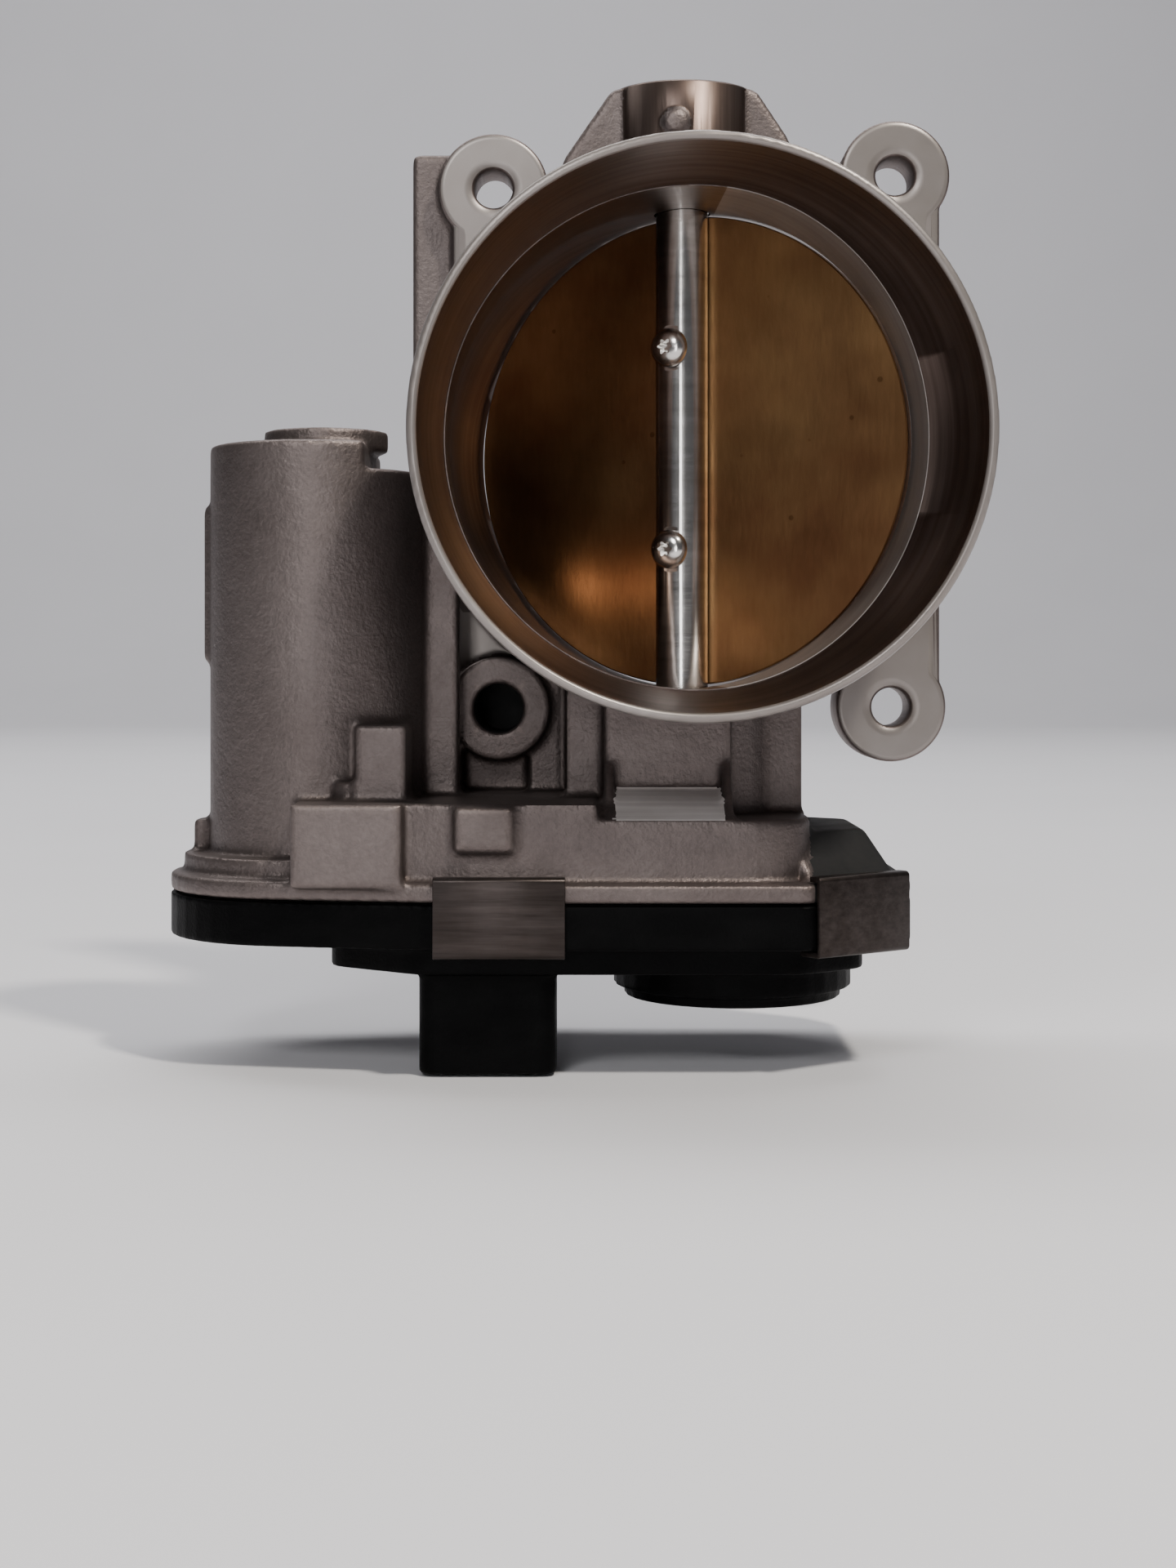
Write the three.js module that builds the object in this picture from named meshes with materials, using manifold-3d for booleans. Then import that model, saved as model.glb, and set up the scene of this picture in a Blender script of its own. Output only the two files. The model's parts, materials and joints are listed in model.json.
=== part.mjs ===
// Electronic throttle body: die-cast housing with a 90 mm class bore, butterfly plate on an upright
// shaft, motor beside the bore and a reduction gear train under it, closed by a clipped plastic cover.
//
// Units are millimetres, +Z is up along the throttle shaft and +Y is the way the air flows.
// The origin is on the bore axis, on the face that bolts to the intake manifold.
import * as THREE from "three";
import { mergeVertices } from "three/addons/utils/BufferGeometryUtils.js";
import Module from "manifold-3d";

const wasm = await Module();
wasm.setup();

// ---- Driving dimensions -------------------------------------------------------------------------

const WELD = 1e-4;
const FIT_GAP = 0.3; // clearance kept between any two pieces
const ROUND = 48; // sides of the large turned surfaces
const SMALL_ROUND = 18; // sides of the small turned pieces

// Bore and inlet spigot
const BORE_RADIUS = 45.2;
const SPIGOT_RADIUS = 50.8;
const BARREL_RADIUS = 50.0;
const MOUTH_Y = -82;
const MOUTH_RADIUS = 49;
const LIP_END_Y = -70;
const LIP_END_RADIUS = 48.7;
const CONE_END_Y = -62;
const CONE_END_RADIUS = 45.4;
const RAMP_HALF_WIDTH = 39.9; // the bore narrows to this beside each closing edge of the plate
const RAMP_MOUTH_HALF_WIDTH = 41.7; // where the right-hand ramp leaves the inlet cone

// Throttle shaft and plate
const AXIS_X = -1.5;
const AXIS_Y = -36;
const SHAFT_RADIUS = 5;
const SHAFT_TOP_Z = 61;
const SHAFT_BOTTOM_Z = -85;
const PLATE_RADIUS = 44.7;
const PLATE_THICKNESS = 2.4;
const PLATE_OFFSET = 2.6; // plate mid-plane behind the shaft axis
const REST_TILT = THREE.MathUtils.degToRad(28); // plate angle from square across the bore, at rest
const SCREW_Z = 19;
const SCREW_HEAD_RADIUS = 3.7;

// Manifold flange and the [x, z] places of its bolt holes
const FLANGE_THICKNESS = 12;
const FLANGE_RADIUS = 53;
const LEDGE_THICKNESS = 7;
const LEDGE_LEFT_X = -55;
const LEDGE_TOP_Z = 63;
const LUG_RADIUS = 11;
const SIDE_REACH = 9.8; // half-width of the flange's straight sides, between the lugs
const BOLT_RADIUS = 3.9;
const DEEP_HOLE_RADIUS = 4.8;
const DEEP_HOLE_BOSS_Y = -28;
const DEEP_HOLE_END_Y = -2;
const TOP_LEFT_BOLT = [-38.4, 55];
const TOP_RIGHT_BOLT = [42.4, 57.6];
const BOTTOM_RIGHT_BOLT = [41.6, -49.3];
const BOTTOM_LEFT_BOLT = [-36.8, -49.3];

// Bosses round the shaft
const TOP_BOSS_RADIUS = 14;
const TOP_BOSS_Z = 67.4;
const PLUG_SEAT_Z = 62.4;
const NECK_HALF_WIDTH = 22;
const NECK_FACE_LEFT_X = -16.5;
const NECK_FACE_RIGHT_X = 6.6;
const NECK_FACE_Y = -53.6;
const SEAL_OUTER_RADIUS = 8;
const SEAL_HEIGHT = 2.6;
const UPPER_BEARING_TOP_Z = 59.5;
const UPPER_BEARING_HEIGHT = 9.2;
const LOWER_BEARING_RADIUS = 13;
const LOWER_BEARING_TOP_Z = -51;
const LOWER_BEARING_HEIGHT = 7;
const SPRING_POCKET_RADIUS = 15.6;
const SPRING_POCKET_TOP_Z = -58.6;

// Gear train: module and tooth counts of the two stages
const FAST_MODULE = 0.9;
const PINION_TEETH = 16;
const IDLER_LARGE_TEETH = 57;
const SLOW_MODULE = 1.25;
const IDLER_SMALL_TEETH = 15;
const SECTOR_TEETH = 43;
const IDLER_X = AXIS_X - (SLOW_MODULE * (IDLER_SMALL_TEETH + SECTOR_TEETH)) / 2;
const MOTOR_X = IDLER_X - (FAST_MODULE * (PINION_TEETH + IDLER_LARGE_TEETH)) / 2;
const SECTOR_FACES = [-86.3, -79.6]; // lower and upper face of each gear
const IDLER_LARGE_FACES = [-77.8, -72.8];
const IDLER_SMALL_FACES = [-87, -77];
const PINION_FACES = [-79.4, -72.2];
const IDLER_PIN_RADIUS = 3;
const IDLER_PIN_BOTTOM_Z = -90.6;

// Gear chamber and cover
const CHAMBER_HALF_WIDTH = 33.6;
const CHAMBER_WIDE_LEFT_X = -40;
const CHAMBER_RIGHT_X = 21;
const MOTOR_END_X = -71.5;
const MOTOR_END_RADIUS = 27;
const BAND_OVERHANG = 2.5;
const CHAMBER_WALL = 5; // from the band's edge to the inner face
const ROOF_TOP_Z = -65.5;
const ROOF_THICKNESS = 3;
const ROOF_BOTTOM_Z = ROOF_TOP_Z - ROOF_THICKNESS;
const LEFT_ROOF_Z = -76; // the roof steps down left of this X, beside the motor
const LEFT_ROOF_X = -72.3;
const RIGHT_ROOF_Z = -68.3; // and right of this X, under the neck
const RIGHT_ROOF_X = -18;
const WALL_CORNER = 13;
const BAND_TOP_Z = -79.5;
const BAND_BOTTOM_Z = -83;
const COVER_TOP_Z = BAND_BOTTOM_Z - FIT_GAP;
const COVER_RIM_Z = -91.3;
const COVER_STEP_Z = -96.3;
const COVER_DOME_Z = -103.4;
const COVER_WALL = 2.5;
const COVER_RIGHT_X = 39.5;
const CORNER_START_X = 19.3; // the right-hand corners are cut off from here
const CORNER_HALF_LENGTH = 18.5; // to here, measured from the shaft axis
const CLIP_LUG_TOP_Z = -71;
const DOME_X = 8;
const DOME_RADIUS = 22.5;
const SOCKET_LEFT_X = -50;
const SOCKET_RIGHT_X = -25.2;
const SOCKET_FRONT_Y = -62;
const SOCKET_BACK_Y = -46;
const SOCKET_END_Z = -114.3;
const TERMINALS = 6;
const CLIP_THICKNESS = 1;
const CLIP_UPPER_REACH = 1.9;
const CLIP_LOWER_REACH = 4.2;
const STOP_SCREW_Y = -46.5;
const STOP_SCREW_Z = -79.4;

// Motor and its housing
const MOTOR_HOUSING_RADIUS = 20.6;
const MOTOR_BORE_RADIUS = 18.2;
const MOTOR_BORE_TOP_Z = -7.9;
const MOTOR_HOUSING_TOP_Z = -4.6;
const CAN_RADIUS = 17.7;
const CAN_WALL = 1.2;
const CAN_TOP_Z = -10.5;
const MOTOR_SHAFT_RADIUS = 2;
const ARMATURE_RADIUS = 12.4;
const MOTOR_SCREW_X = -62;
const MOTOR_SCREW_SPREAD = 19;
const CORE_ENDS = [-52, -22]; // lower and upper end of each piece of the motor
const MAGNET_ENDS = [-54, -20];
const BUNDLE_ENDS = [-56, -18];
const LOWER_TURNS_ENDS = [-56.5, -52.4];
const UPPER_TURNS_ENDS = [-21.6, -17.5];
const COMMUTATOR_ENDS = [-65, -57];
const BRUSH_CARD_ENDS = [-67.6, -66];
const BRUSH_ENDS = [-67, -59.5];
const MOTOR_SHAFT_ENDS = [-80.5, -9.9];
const REAR_BUSH_ENDS = [-15.5, -10.8];
const WAVE_WASHER_ENDS = [-9.6, -8.8];

// ---- Solids ---------------------------------------------------------------------------------------

// A closed geometry as a solid that can be joined and cut.
function solid(geometry) {
  const bare = geometry.clone();
  bare.deleteAttribute("normal");
  bare.deleteAttribute("uv");
  const welded = mergeVertices(bare, WELD);
  const mesh = new wasm.Mesh({
    numProp: 3,
    vertProperties: new Float32Array(welded.attributes.position.array),
    triVerts: new Uint32Array(welded.index.array),
  });
  return new wasm.Manifold(mesh);
}

// A solid back as a geometry for a mesh.
function geometryOf(body) {
  const mesh = body.getMesh();
  const geometry = new THREE.BufferGeometry();
  geometry.setAttribute("position", new THREE.BufferAttribute(mesh.vertProperties, 3));
  geometry.setIndex(new THREE.BufferAttribute(mesh.triVerts, 1));
  geometry.computeVertexNormals();
  return geometry;
}

function join(...bodies) {
  return bodies.reduce((whole, body) => whole.add(body));
}

function cut(body, ...tools) {
  return tools.reduce((rest, tool) => rest.subtract(tool), body);
}

// A block from its two extreme corners.
function block([x0, y0, z0], [x1, y1, z1]) {
  const geometry = new THREE.BoxGeometry(x1 - x0, y1 - y0, z1 - z0);
  geometry.translate((x0 + x1) / 2, (y0 + y1) / 2, (z0 + z1) / 2);
  return solid(geometry);
}

// An upright rod between two heights.
function rod(radius, z0, z1, x, y, sides = SMALL_ROUND) {
  const geometry = new THREE.CylinderGeometry(radius, radius, z1 - z0, sides);
  geometry.rotateX(Math.PI / 2);
  geometry.translate(x, y, (z0 + z1) / 2);
  return solid(geometry);
}

// An upright ring between two heights.
function ring(inner, outer, z0, z1, x, y, sides = SMALL_ROUND) {
  const hole = rod(inner, z0 - 1, z1 + 1, x, y, sides);
  return cut(rod(outer, z0, z1, x, y, sides), hole);
}

// A rod lying along the bore axis.
function crossRod(radius, y0, y1, x, z, sides = SMALL_ROUND) {
  const geometry = new THREE.CylinderGeometry(radius, radius, y1 - y0, sides);
  geometry.translate(x, (y0 + y1) / 2, z);
  return solid(geometry);
}

// A rod lying along X.
function alongX(radius, x0, x1, y, z) {
  const geometry = new THREE.CylinderGeometry(radius, radius, x1 - x0, 12);
  geometry.rotateZ(Math.PI / 2);
  geometry.translate((x0 + x1) / 2, y, z);
  return solid(geometry);
}

// A solid turned round the bore axis from a [radius, y] profile.
function turned(profile, sides = ROUND) {
  const points = profile.map(([radius, y]) => new THREE.Vector2(radius, y));
  return solid(new THREE.LatheGeometry(points, sides));
}

// A solid turned round an upright axis from a [radius, z] profile.
function turnedUpright(profile, x, y, sides = SMALL_ROUND) {
  const points = profile.map(([radius, z]) => new THREE.Vector2(radius, z));
  const geometry = new THREE.LatheGeometry(points, sides);
  geometry.rotateX(Math.PI / 2);
  geometry.translate(x, y, 0);
  return solid(geometry);
}

// An outline of [x, y] corners rounded off by a radius.
function roundedShape(corners, radius) {
  const shape = new THREE.Shape();
  corners.forEach(([x, y], index) => {
    const here = new THREE.Vector2(x, y);
    const before = new THREE.Vector2(...corners.at(index - 1));
    const after = new THREE.Vector2(...corners[(index + 1) % corners.length]);
    const start = before.sub(here).setLength(radius).add(here);
    const end = after.sub(here).setLength(radius).add(here);
    if (index === 0) shape.moveTo(start.x, start.y);
    else shape.lineTo(start.x, start.y);
    shape.quadraticCurveTo(here.x, here.y, end.x, end.y);
  });
  return shape;
}

// A plan outline raised between two heights.
function raised(shape, z0, z1, curveSegments = 4) {
  const geometry = new THREE.ExtrudeGeometry(shape, { depth: z1 - z0, bevelEnabled: false, curveSegments });
  geometry.translate(0, 0, z0);
  return solid(geometry);
}

// A plan outline raised between two heights, drawn in toward [x, y] by a share at its top.
function tapered(shape, z0, z1, [x, y], share) {
  const depth = z1 - z0;
  const geometry = new THREE.ExtrudeGeometry(shape, { depth, bevelEnabled: false, curveSegments: 3 });
  const points = geometry.attributes.position;
  for (let index = 0; index < points.count; index += 1) {
    const reach = points.getZ(index) > depth / 2 ? share : 1;
    points.setX(index, x + (points.getX(index) - x) * reach);
    points.setY(index, y + (points.getY(index) - y) * reach);
  }
  geometry.translate(0, 0, z0);
  return solid(geometry);
}

// A front-view [x, z] outline carried along the bore axis.
function carried(shape, y0, y1, curveSegments = 4) {
  const geometry = new THREE.ExtrudeGeometry(shape, { depth: y1 - y0, bevelEnabled: false, curveSegments });
  geometry.rotateX(Math.PI / 2);
  geometry.translate(0, y1, 0);
  return solid(geometry);
}

// A side-view [y, z] outline carried along X.
function carriedAcross(shape, x0, x1) {
  const settings = { depth: x1 - x0, bevelEnabled: false, curveSegments: 4 };
  const geometry = new THREE.ExtrudeGeometry(shape, settings);
  geometry.rotateX(Math.PI / 2);
  geometry.rotateZ(Math.PI / 2);
  geometry.translate(x0, 0, 0);
  return solid(geometry);
}

// ---- Housing ----------------------------------------------------------------------------------------

// A length of passage along the bore, narrowed sideways by a share of its radius at either end.
function passage(y0, y1, narrowing) {
  const geometry = new THREE.CylinderGeometry(BORE_RADIUS, BORE_RADIUS, y1 - y0, ROUND);
  geometry.translate(0, (y0 + y1) / 2, 0);
  const points = geometry.attributes.position;
  for (let index = 0; index < points.count; index += 1) {
    const x = points.getX(index);
    const side = x > 0 ? "right" : "left";
    const reach = points.getY(index) < (y0 + y1) / 2 ? narrowing[side][0] : narrowing[side][1];
    points.setX(index, (x * reach) / BORE_RADIUS);
  }
  return solid(geometry);
}

// The inlet: a short straight lip, then a cone that is drawn in on the right to meet the ramp there.
function inlet() {
  const profile = [
    [0, MOUTH_Y - 5],
    [MOUTH_RADIUS + 0.4, MOUTH_Y - 5],
    [MOUTH_RADIUS + 0.4, MOUTH_Y],
    [MOUTH_RADIUS, MOUTH_Y + 1.2],
    [LIP_END_RADIUS, LIP_END_Y],
    [CONE_END_RADIUS, CONE_END_Y],
    [0, CONE_END_Y],
  ].map(([radius, y]) => new THREE.Vector2(radius, y));
  const geometry = new THREE.LatheGeometry(profile, ROUND);
  const points = geometry.attributes.position;
  for (let index = 0; index < points.count; index += 1) {
    const x = points.getX(index);
    const drawnIn = x > 0 && points.getY(index) > CONE_END_Y - 0.1;
    points.setX(index, drawnIn ? (x * RAMP_MOUTH_HALF_WIDTH) / CONE_END_RADIUS : x);
  }
  return solid(geometry);
}

// The airway: the inlet, ramps beside the plate's closing edges and the ball-shaped seat it swings in.
function airway() {
  const seat = new THREE.SphereGeometry(BORE_RADIUS, ROUND, 24);
  seat.translate(AXIS_X, AXIS_Y, 0);
  const upstream = passage(CONE_END_Y - 0.5, AXIS_Y, {
    right: [RAMP_MOUTH_HALF_WIDTH, RAMP_HALF_WIDTH - 6],
    left: [BORE_RADIUS, BORE_RADIUS],
  });
  const downstream = passage(AXIS_Y, -14, {
    right: [BORE_RADIUS, BORE_RADIUS],
    left: [RAMP_HALF_WIDTH - 3, RAMP_HALF_WIDTH],
  });
  const outlet = passage(-14.5, 5, {
    right: [BORE_RADIUS, BORE_RADIUS],
    left: [RAMP_HALF_WIDTH, BORE_RADIUS],
  });
  return join(inlet(), solid(seat), upstream, downstream, outlet);
}

// Spigot and barrel, solid through.
function barrel() {
  return turned([
    [0, MOUTH_Y],
    [SPIGOT_RADIUS - 0.5, MOUTH_Y],
    [SPIGOT_RADIUS, MOUTH_Y + 0.8],
    [SPIGOT_RADIUS, MOUTH_Y + 7],
    [BARREL_RADIUS - 0.6, MOUTH_Y + 9],
    [BARREL_RADIUS, AXIS_Y],
    [BARREL_RADIUS + 1, -FLANGE_THICKNESS],
    [BARREL_RADIUS + 1, 0],
    [0, 0],
  ]);
}

function flange() {
  const front = -FLANGE_THICKNESS;
  const disc = crossRod(FLANGE_RADIUS, front, 0, 0, 0, ROUND);
  const sides = [
    [TOP_LEFT_BOLT, BOTTOM_LEFT_BOLT],
    [TOP_RIGHT_BOLT, BOTTOM_RIGHT_BOLT],
  ];
  const lugs = sides.flatMap(([top, bottom]) => [
    crossRod(LUG_RADIUS, front, 0, ...top, 24),
    crossRod(LUG_RADIUS, front, 0, ...bottom, 24),
    block([bottom[0] - SIDE_REACH, front, bottom[1]], [bottom[0] + SIDE_REACH, 0, top[1]]),
  ]);
  const corner = [
    [LEDGE_LEFT_X, -40],
    [TOP_LEFT_BOLT[0], -40],
    [TOP_LEFT_BOLT[0], LEDGE_TOP_Z],
    [LEDGE_LEFT_X, LEDGE_TOP_Z],
  ];
  const ledge = carried(roundedShape(corner, 1.5), -LEDGE_THICKNESS, 0);
  return join(disc, ledge, ...lugs);
}

// Upper bearing boss with the two webs that brace it, and the small pad cast on its front.
function topBoss() {
  const left = AXIS_X - TOP_BOSS_RADIUS;
  const right = AXIS_X + TOP_BOSS_RADIUS;
  const web = [
    [left - 10, 48],
    [right + 9, 48],
    [right + 5.5, 58],
    [right - 0.5, TOP_BOSS_Z - 0.4],
    [left + 0.5, TOP_BOSS_Z - 0.4],
    [left - 8.5, 54],
  ];
  return join(
    rod(TOP_BOSS_RADIUS, 40, TOP_BOSS_Z, AXIS_X, AXIS_Y, 32),
    carried(roundedShape(web, 0.8), AXIS_Y - 8, -4, 2),
    crossRod(2.2, AXIS_Y - TOP_BOSS_RADIUS - 1, AXIS_Y, AXIS_X - 1.8, 59.5, 16),
  );
}

// Lower neck between the barrel and the gear chamber. Its flat face stands on a sloping ledge that
// runs down to the chamber's front edge between two small cheeks.
function neck() {
  const left = AXIS_X - NECK_HALF_WIDTH;
  const right = AXIS_X + NECK_HALF_WIDTH;
  const top = -38; // inside the barrel
  const bottom = RIGHT_ROOF_Z - 1;
  const ledge = new THREE.Shape();
  ledge.moveTo(-66.9, bottom);
  ledge.lineTo(-50, bottom);
  ledge.lineTo(-50, -63.4);
  ledge.lineTo(NECK_FACE_Y, -63.4);
  ledge.lineTo(-66.9, RIGHT_ROOF_Z);
  ledge.closePath();
  const cheek = new THREE.Shape();
  cheek.moveTo(-64, bottom);
  cheek.lineTo(-50, bottom);
  cheek.lineTo(-50, -58.8);
  cheek.lineTo(NECK_FACE_Y - 0.5, -58.8);
  cheek.closePath();
  return join(
    block([left, -45, bottom], [right, -8, top]),
    block([left - 6, -20, bottom], [left + 1, -8, top]),
    rod(17.5, bottom, top, AXIS_X, AXIS_Y, 32),
    block([NECK_FACE_LEFT_X, NECK_FACE_Y, bottom], [NECK_FACE_RIGHT_X, AXIS_Y, top]),
    carriedAcross(ledge, NECK_FACE_LEFT_X, NECK_FACE_RIGHT_X),
    carriedAcross(cheek, NECK_FACE_LEFT_X, NECK_FACE_LEFT_X + 1.6),
    carriedAcross(cheek, NECK_FACE_RIGHT_X - 1.6, NECK_FACE_RIGHT_X),
  );
}

// Square column under the lower left bolt boss, with the pocket cast in its front.
function boltColumn() {
  const [x, z] = BOTTOM_LEFT_BOLT;
  const left = x - 10;
  const right = x + 11.6;
  const bottom = ROOF_TOP_Z - 1;
  const column = block([left, DEEP_HOLE_BOSS_Y + 2, bottom], [right, -1.5, z + 6]);
  const pocket = block([left + 2.2, -30, ROOF_TOP_Z], [right - 5.8, -21.5, z - 7.5]);
  const boss = crossRod(LUG_RADIUS - 1, DEEP_HOLE_BOSS_Y, -1.5, x, z, 24);
  return join(cut(column, pocket), boss);
}

// Plan outline of the gear chamber, drawn in by an inset, with a square right-hand end.
function chamberShape(inset, rightX = CHAMBER_RIGHT_X, corner = 4) {
  const halfWidth = CHAMBER_HALF_WIDTH - inset;
  const radius = MOTOR_END_RADIUS - inset;
  const run = CHAMBER_WIDE_LEFT_X - MOTOR_END_X;
  const tangent = Math.atan2(halfWidth, run) + Math.acos(radius / Math.hypot(run, halfWidth));
  const right = rightX - inset;
  const shape = new THREE.Shape();
  shape.moveTo(right - corner, AXIS_Y + halfWidth);
  shape.lineTo(CHAMBER_WIDE_LEFT_X, AXIS_Y + halfWidth);
  shape.absarc(MOTOR_END_X, AXIS_Y, radius, tangent, 2 * Math.PI - tangent, false);
  shape.lineTo(CHAMBER_WIDE_LEFT_X, AXIS_Y - halfWidth);
  shape.lineTo(right - corner, AXIS_Y - halfWidth);
  shape.quadraticCurveTo(right, AXIS_Y - halfWidth, right, AXIS_Y - halfWidth + corner);
  shape.lineTo(right, AXIS_Y + halfWidth - corner);
  shape.quadraticCurveTo(right, AXIS_Y + halfWidth, right - corner, AXIS_Y + halfWidth);
  shape.closePath();
  return shape;
}

const CHAMBER_ARC = 9; // segments of each curve of the chamber outline

const CORNER_TURN = Math.atan2(
  CHAMBER_HALF_WIDTH - CORNER_HALF_LENGTH,
  COVER_RIGHT_X - CORNER_START_X,
);

// Outline of the corners that carry the right-hand clips, drawn in by an inset. The housing's lug and
// the cover beneath it share it.
function cornerShape(inset, leftX) {
  const startX = CORNER_START_X - inset * Math.tan(CORNER_TURN / 2);
  const halfLength = CORNER_HALF_LENGTH - inset * Math.tan(Math.PI / 4 - CORNER_TURN / 2);
  const halfWidth = CHAMBER_HALF_WIDTH - inset;
  const rightX = COVER_RIGHT_X - inset;
  const corners = [
    [leftX, AXIS_Y - halfWidth],
    [startX, AXIS_Y - halfWidth],
    [rightX, AXIS_Y - halfLength],
    [rightX, AXIS_Y + halfLength],
    [startX, AXIS_Y + halfWidth],
    [leftX, AXIS_Y + halfWidth],
  ];
  return roundedShape(corners, 1.2);
}

// Lug at the chamber's right end that the two right-hand clips hook over, and the hollow under it.
function clipLug() {
  const centre = [8, AXIS_Y];
  const hollowTop = CLIP_LUG_TOP_Z - 2.5;
  const leftOf = (x) => block([-20, -80, -100], [x, 10, -50]);
  const outside = join(
    raised(cornerShape(0, 15), BAND_BOTTOM_Z, BAND_TOP_Z, 3),
    cut(
      tapered(cornerShape(2.3, 10), BAND_TOP_Z - 0.5, CLIP_LUG_TOP_Z, centre, 0.8),
      leftOf(CHAMBER_RIGHT_X - 2),
    ),
  );
  const inside = cut(
    join(
      raised(cornerShape(3.5, 10), BAND_BOTTOM_Z - 1, BAND_TOP_Z, 3),
      tapered(cornerShape(4.8, 10), BAND_TOP_Z - 0.5, hollowTop, centre, 0.85),
    ),
    leftOf(CHAMBER_RIGHT_X + 2),
  );
  return { outside, inside };
}

// Walls, roof and clip band of the gear chamber, solid through, with the pads cast on its front.
function chamberBody() {
  const plan = chamberShape(BAND_OVERHANG, CHAMBER_RIGHT_X + BAND_OVERHANG, WALL_CORNER);
  const walls = raised(plan, BAND_BOTTOM_Z, ROOF_TOP_Z, CHAMBER_ARC);
  const band = raised(chamberShape(0), BAND_BOTTOM_Z, BAND_TOP_Z, CHAMBER_ARC);
  return join(
    cut(
      walls,
      block([-120, -80, LEFT_ROOF_Z], [LEFT_ROOF_X, 10, ROOF_TOP_Z + 1]),
      block([RIGHT_ROOF_X, -80, RIGHT_ROOF_Z], [40, 10, ROOF_TOP_Z + 1]),
    ),
    band,
    clipLug().outside,
    block([LEFT_ROOF_X, -68.1, BAND_TOP_Z - 1], [-52.6, -60, ROOF_TOP_Z]),
    block([-43.2, -68.8, -74], [-32.9, -60, ROOF_TOP_Z - 0.5]),
    block([-94.2, AXIS_Y - 3, BAND_BOTTOM_Z], [-85, AXIS_Y + 3, -70]),
  );
}

// Motor housing with its cast rear cap, the square post, and the web that ties it to the barrel.
function motorHousing() {
  const radius = MOTOR_HOUSING_RADIUS;
  const raisedTop = MOTOR_HOUSING_TOP_Z + 5;
  const crown = cut(
    rod(radius, MOTOR_HOUSING_TOP_Z - 1, raisedTop, MOTOR_X, AXIS_Y, 40),
    block([-60.5, -80, MOTOR_HOUSING_TOP_Z], [-40, 0, raisedTop + 1]),
  );
  return join(
    rod(radius, BAND_BOTTOM_Z, MOTOR_HOUSING_TOP_Z, MOTOR_X, AXIS_Y, 40),
    crown,
    rod(11.7, raisedTop - 1, raisedTop + 3, MOTOR_X + 1.3, AXIS_Y, 24),
    block([-61.6, -59.5, -67], [-52.3, AXIS_Y, -51.7]),
    block([-60, AXIS_Y - 4, -67], [-44, AXIS_Y + 4, MOTOR_HOUSING_TOP_Z]),
    block([-60, AXIS_Y + 8, -67], [-44, -2, -52]),
    block([MOTOR_X - radius - 0.9, AXIS_Y - 4, -40], [MOTOR_X, AXIS_Y + 4, -11]),
  );
}

// Everything hollow in the housing below the airway: bearing seats, motor bore and gear chamber.
function housingHollows() {
  const plan = chamberShape(CHAMBER_WALL, CHAMBER_RIGHT_X, WALL_CORNER);
  const leftLow = LEFT_ROOF_Z - ROOF_THICKNESS;
  const rightLow = RIGHT_ROOF_Z - ROOF_THICKNESS;
  const chamber = cut(
    raised(plan, BAND_BOTTOM_Z - 1, ROOF_BOTTOM_Z, CHAMBER_ARC),
    block([-120, -80, leftLow], [LEFT_ROOF_X + 2.5, 10, ROOF_TOP_Z]),
    block([RIGHT_ROOF_X - 2.5, -80, rightLow], [40, 10, ROOF_TOP_Z]),
  );
  const seat = SEAL_OUTER_RADIUS + FIT_GAP;
  const bearing = LOWER_BEARING_RADIUS + FIT_GAP;
  const screws = [-1, 1].map((side) =>
    rod(1.6, ROOF_BOTTOM_Z - 1, -64.4, MOTOR_SCREW_X, AXIS_Y + side * MOTOR_SCREW_SPREAD, 12),
  );
  return [
    rod(SHAFT_RADIUS + 0.4, ROOF_BOTTOM_Z, TOP_BOSS_Z - 2, AXIS_X, AXIS_Y),
    rod(seat, 47, PLUG_SEAT_Z, AXIS_X, AXIS_Y),
    rod(9.3, PLUG_SEAT_Z, TOP_BOSS_Z + 1, AXIS_X, AXIS_Y, 24),
    rod(seat, -52, -47, AXIS_X, AXIS_Y),
    rod(bearing, SPRING_POCKET_TOP_Z - 1, LOWER_BEARING_TOP_Z + FIT_GAP, AXIS_X, AXIS_Y, 32),
    rod(SPRING_POCKET_RADIUS, rightLow - 1, SPRING_POCKET_TOP_Z, AXIS_X, AXIS_Y, 32),
    rod(MOTOR_BORE_RADIUS, BAND_BOTTOM_Z - 1, MOTOR_BORE_TOP_Z, MOTOR_X, AXIS_Y, 40),
    rod(IDLER_PIN_RADIUS + FIT_GAP, ROOF_BOTTOM_Z - 1, ROOF_TOP_Z - 1, IDLER_X, AXIS_Y),
    alongX(2.3, 10, 30, STOP_SCREW_Y, STOP_SCREW_Z),
    alongX(3.5, CHAMBER_RIGHT_X, 30, STOP_SCREW_Y, STOP_SCREW_Z),
    clipLug().inside,
    chamber,
    ...screws,
  ];
}

function boltHoles() {
  const open = [TOP_LEFT_BOLT, TOP_RIGHT_BOLT, BOTTOM_RIGHT_BOLT];
  const deep = crossRod(DEEP_HOLE_RADIUS, -40, DEEP_HOLE_END_Y, ...BOTTOM_LEFT_BOLT);
  return [...open.map((place) => crossRod(BOLT_RADIUS, -40, 5, ...place)), deep];
}

function throttleHousing() {
  const screwBosses = [-1, 1].map((side) =>
    rod(4, ROOF_BOTTOM_Z, -62, MOTOR_SCREW_X, AXIS_Y + side * MOTOR_SCREW_SPREAD, 16),
  );
  const casting = join(
    barrel(),
    flange(),
    topBoss(),
    neck(),
    boltColumn(),
    chamberBody(),
    motorHousing(),
    ...screwBosses,
  );
  return cut(casting, airway(), ...housingHollows(), ...boltHoles());
}

// ---- Throttle shaft group --------------------------------------------------------------------------

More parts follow.
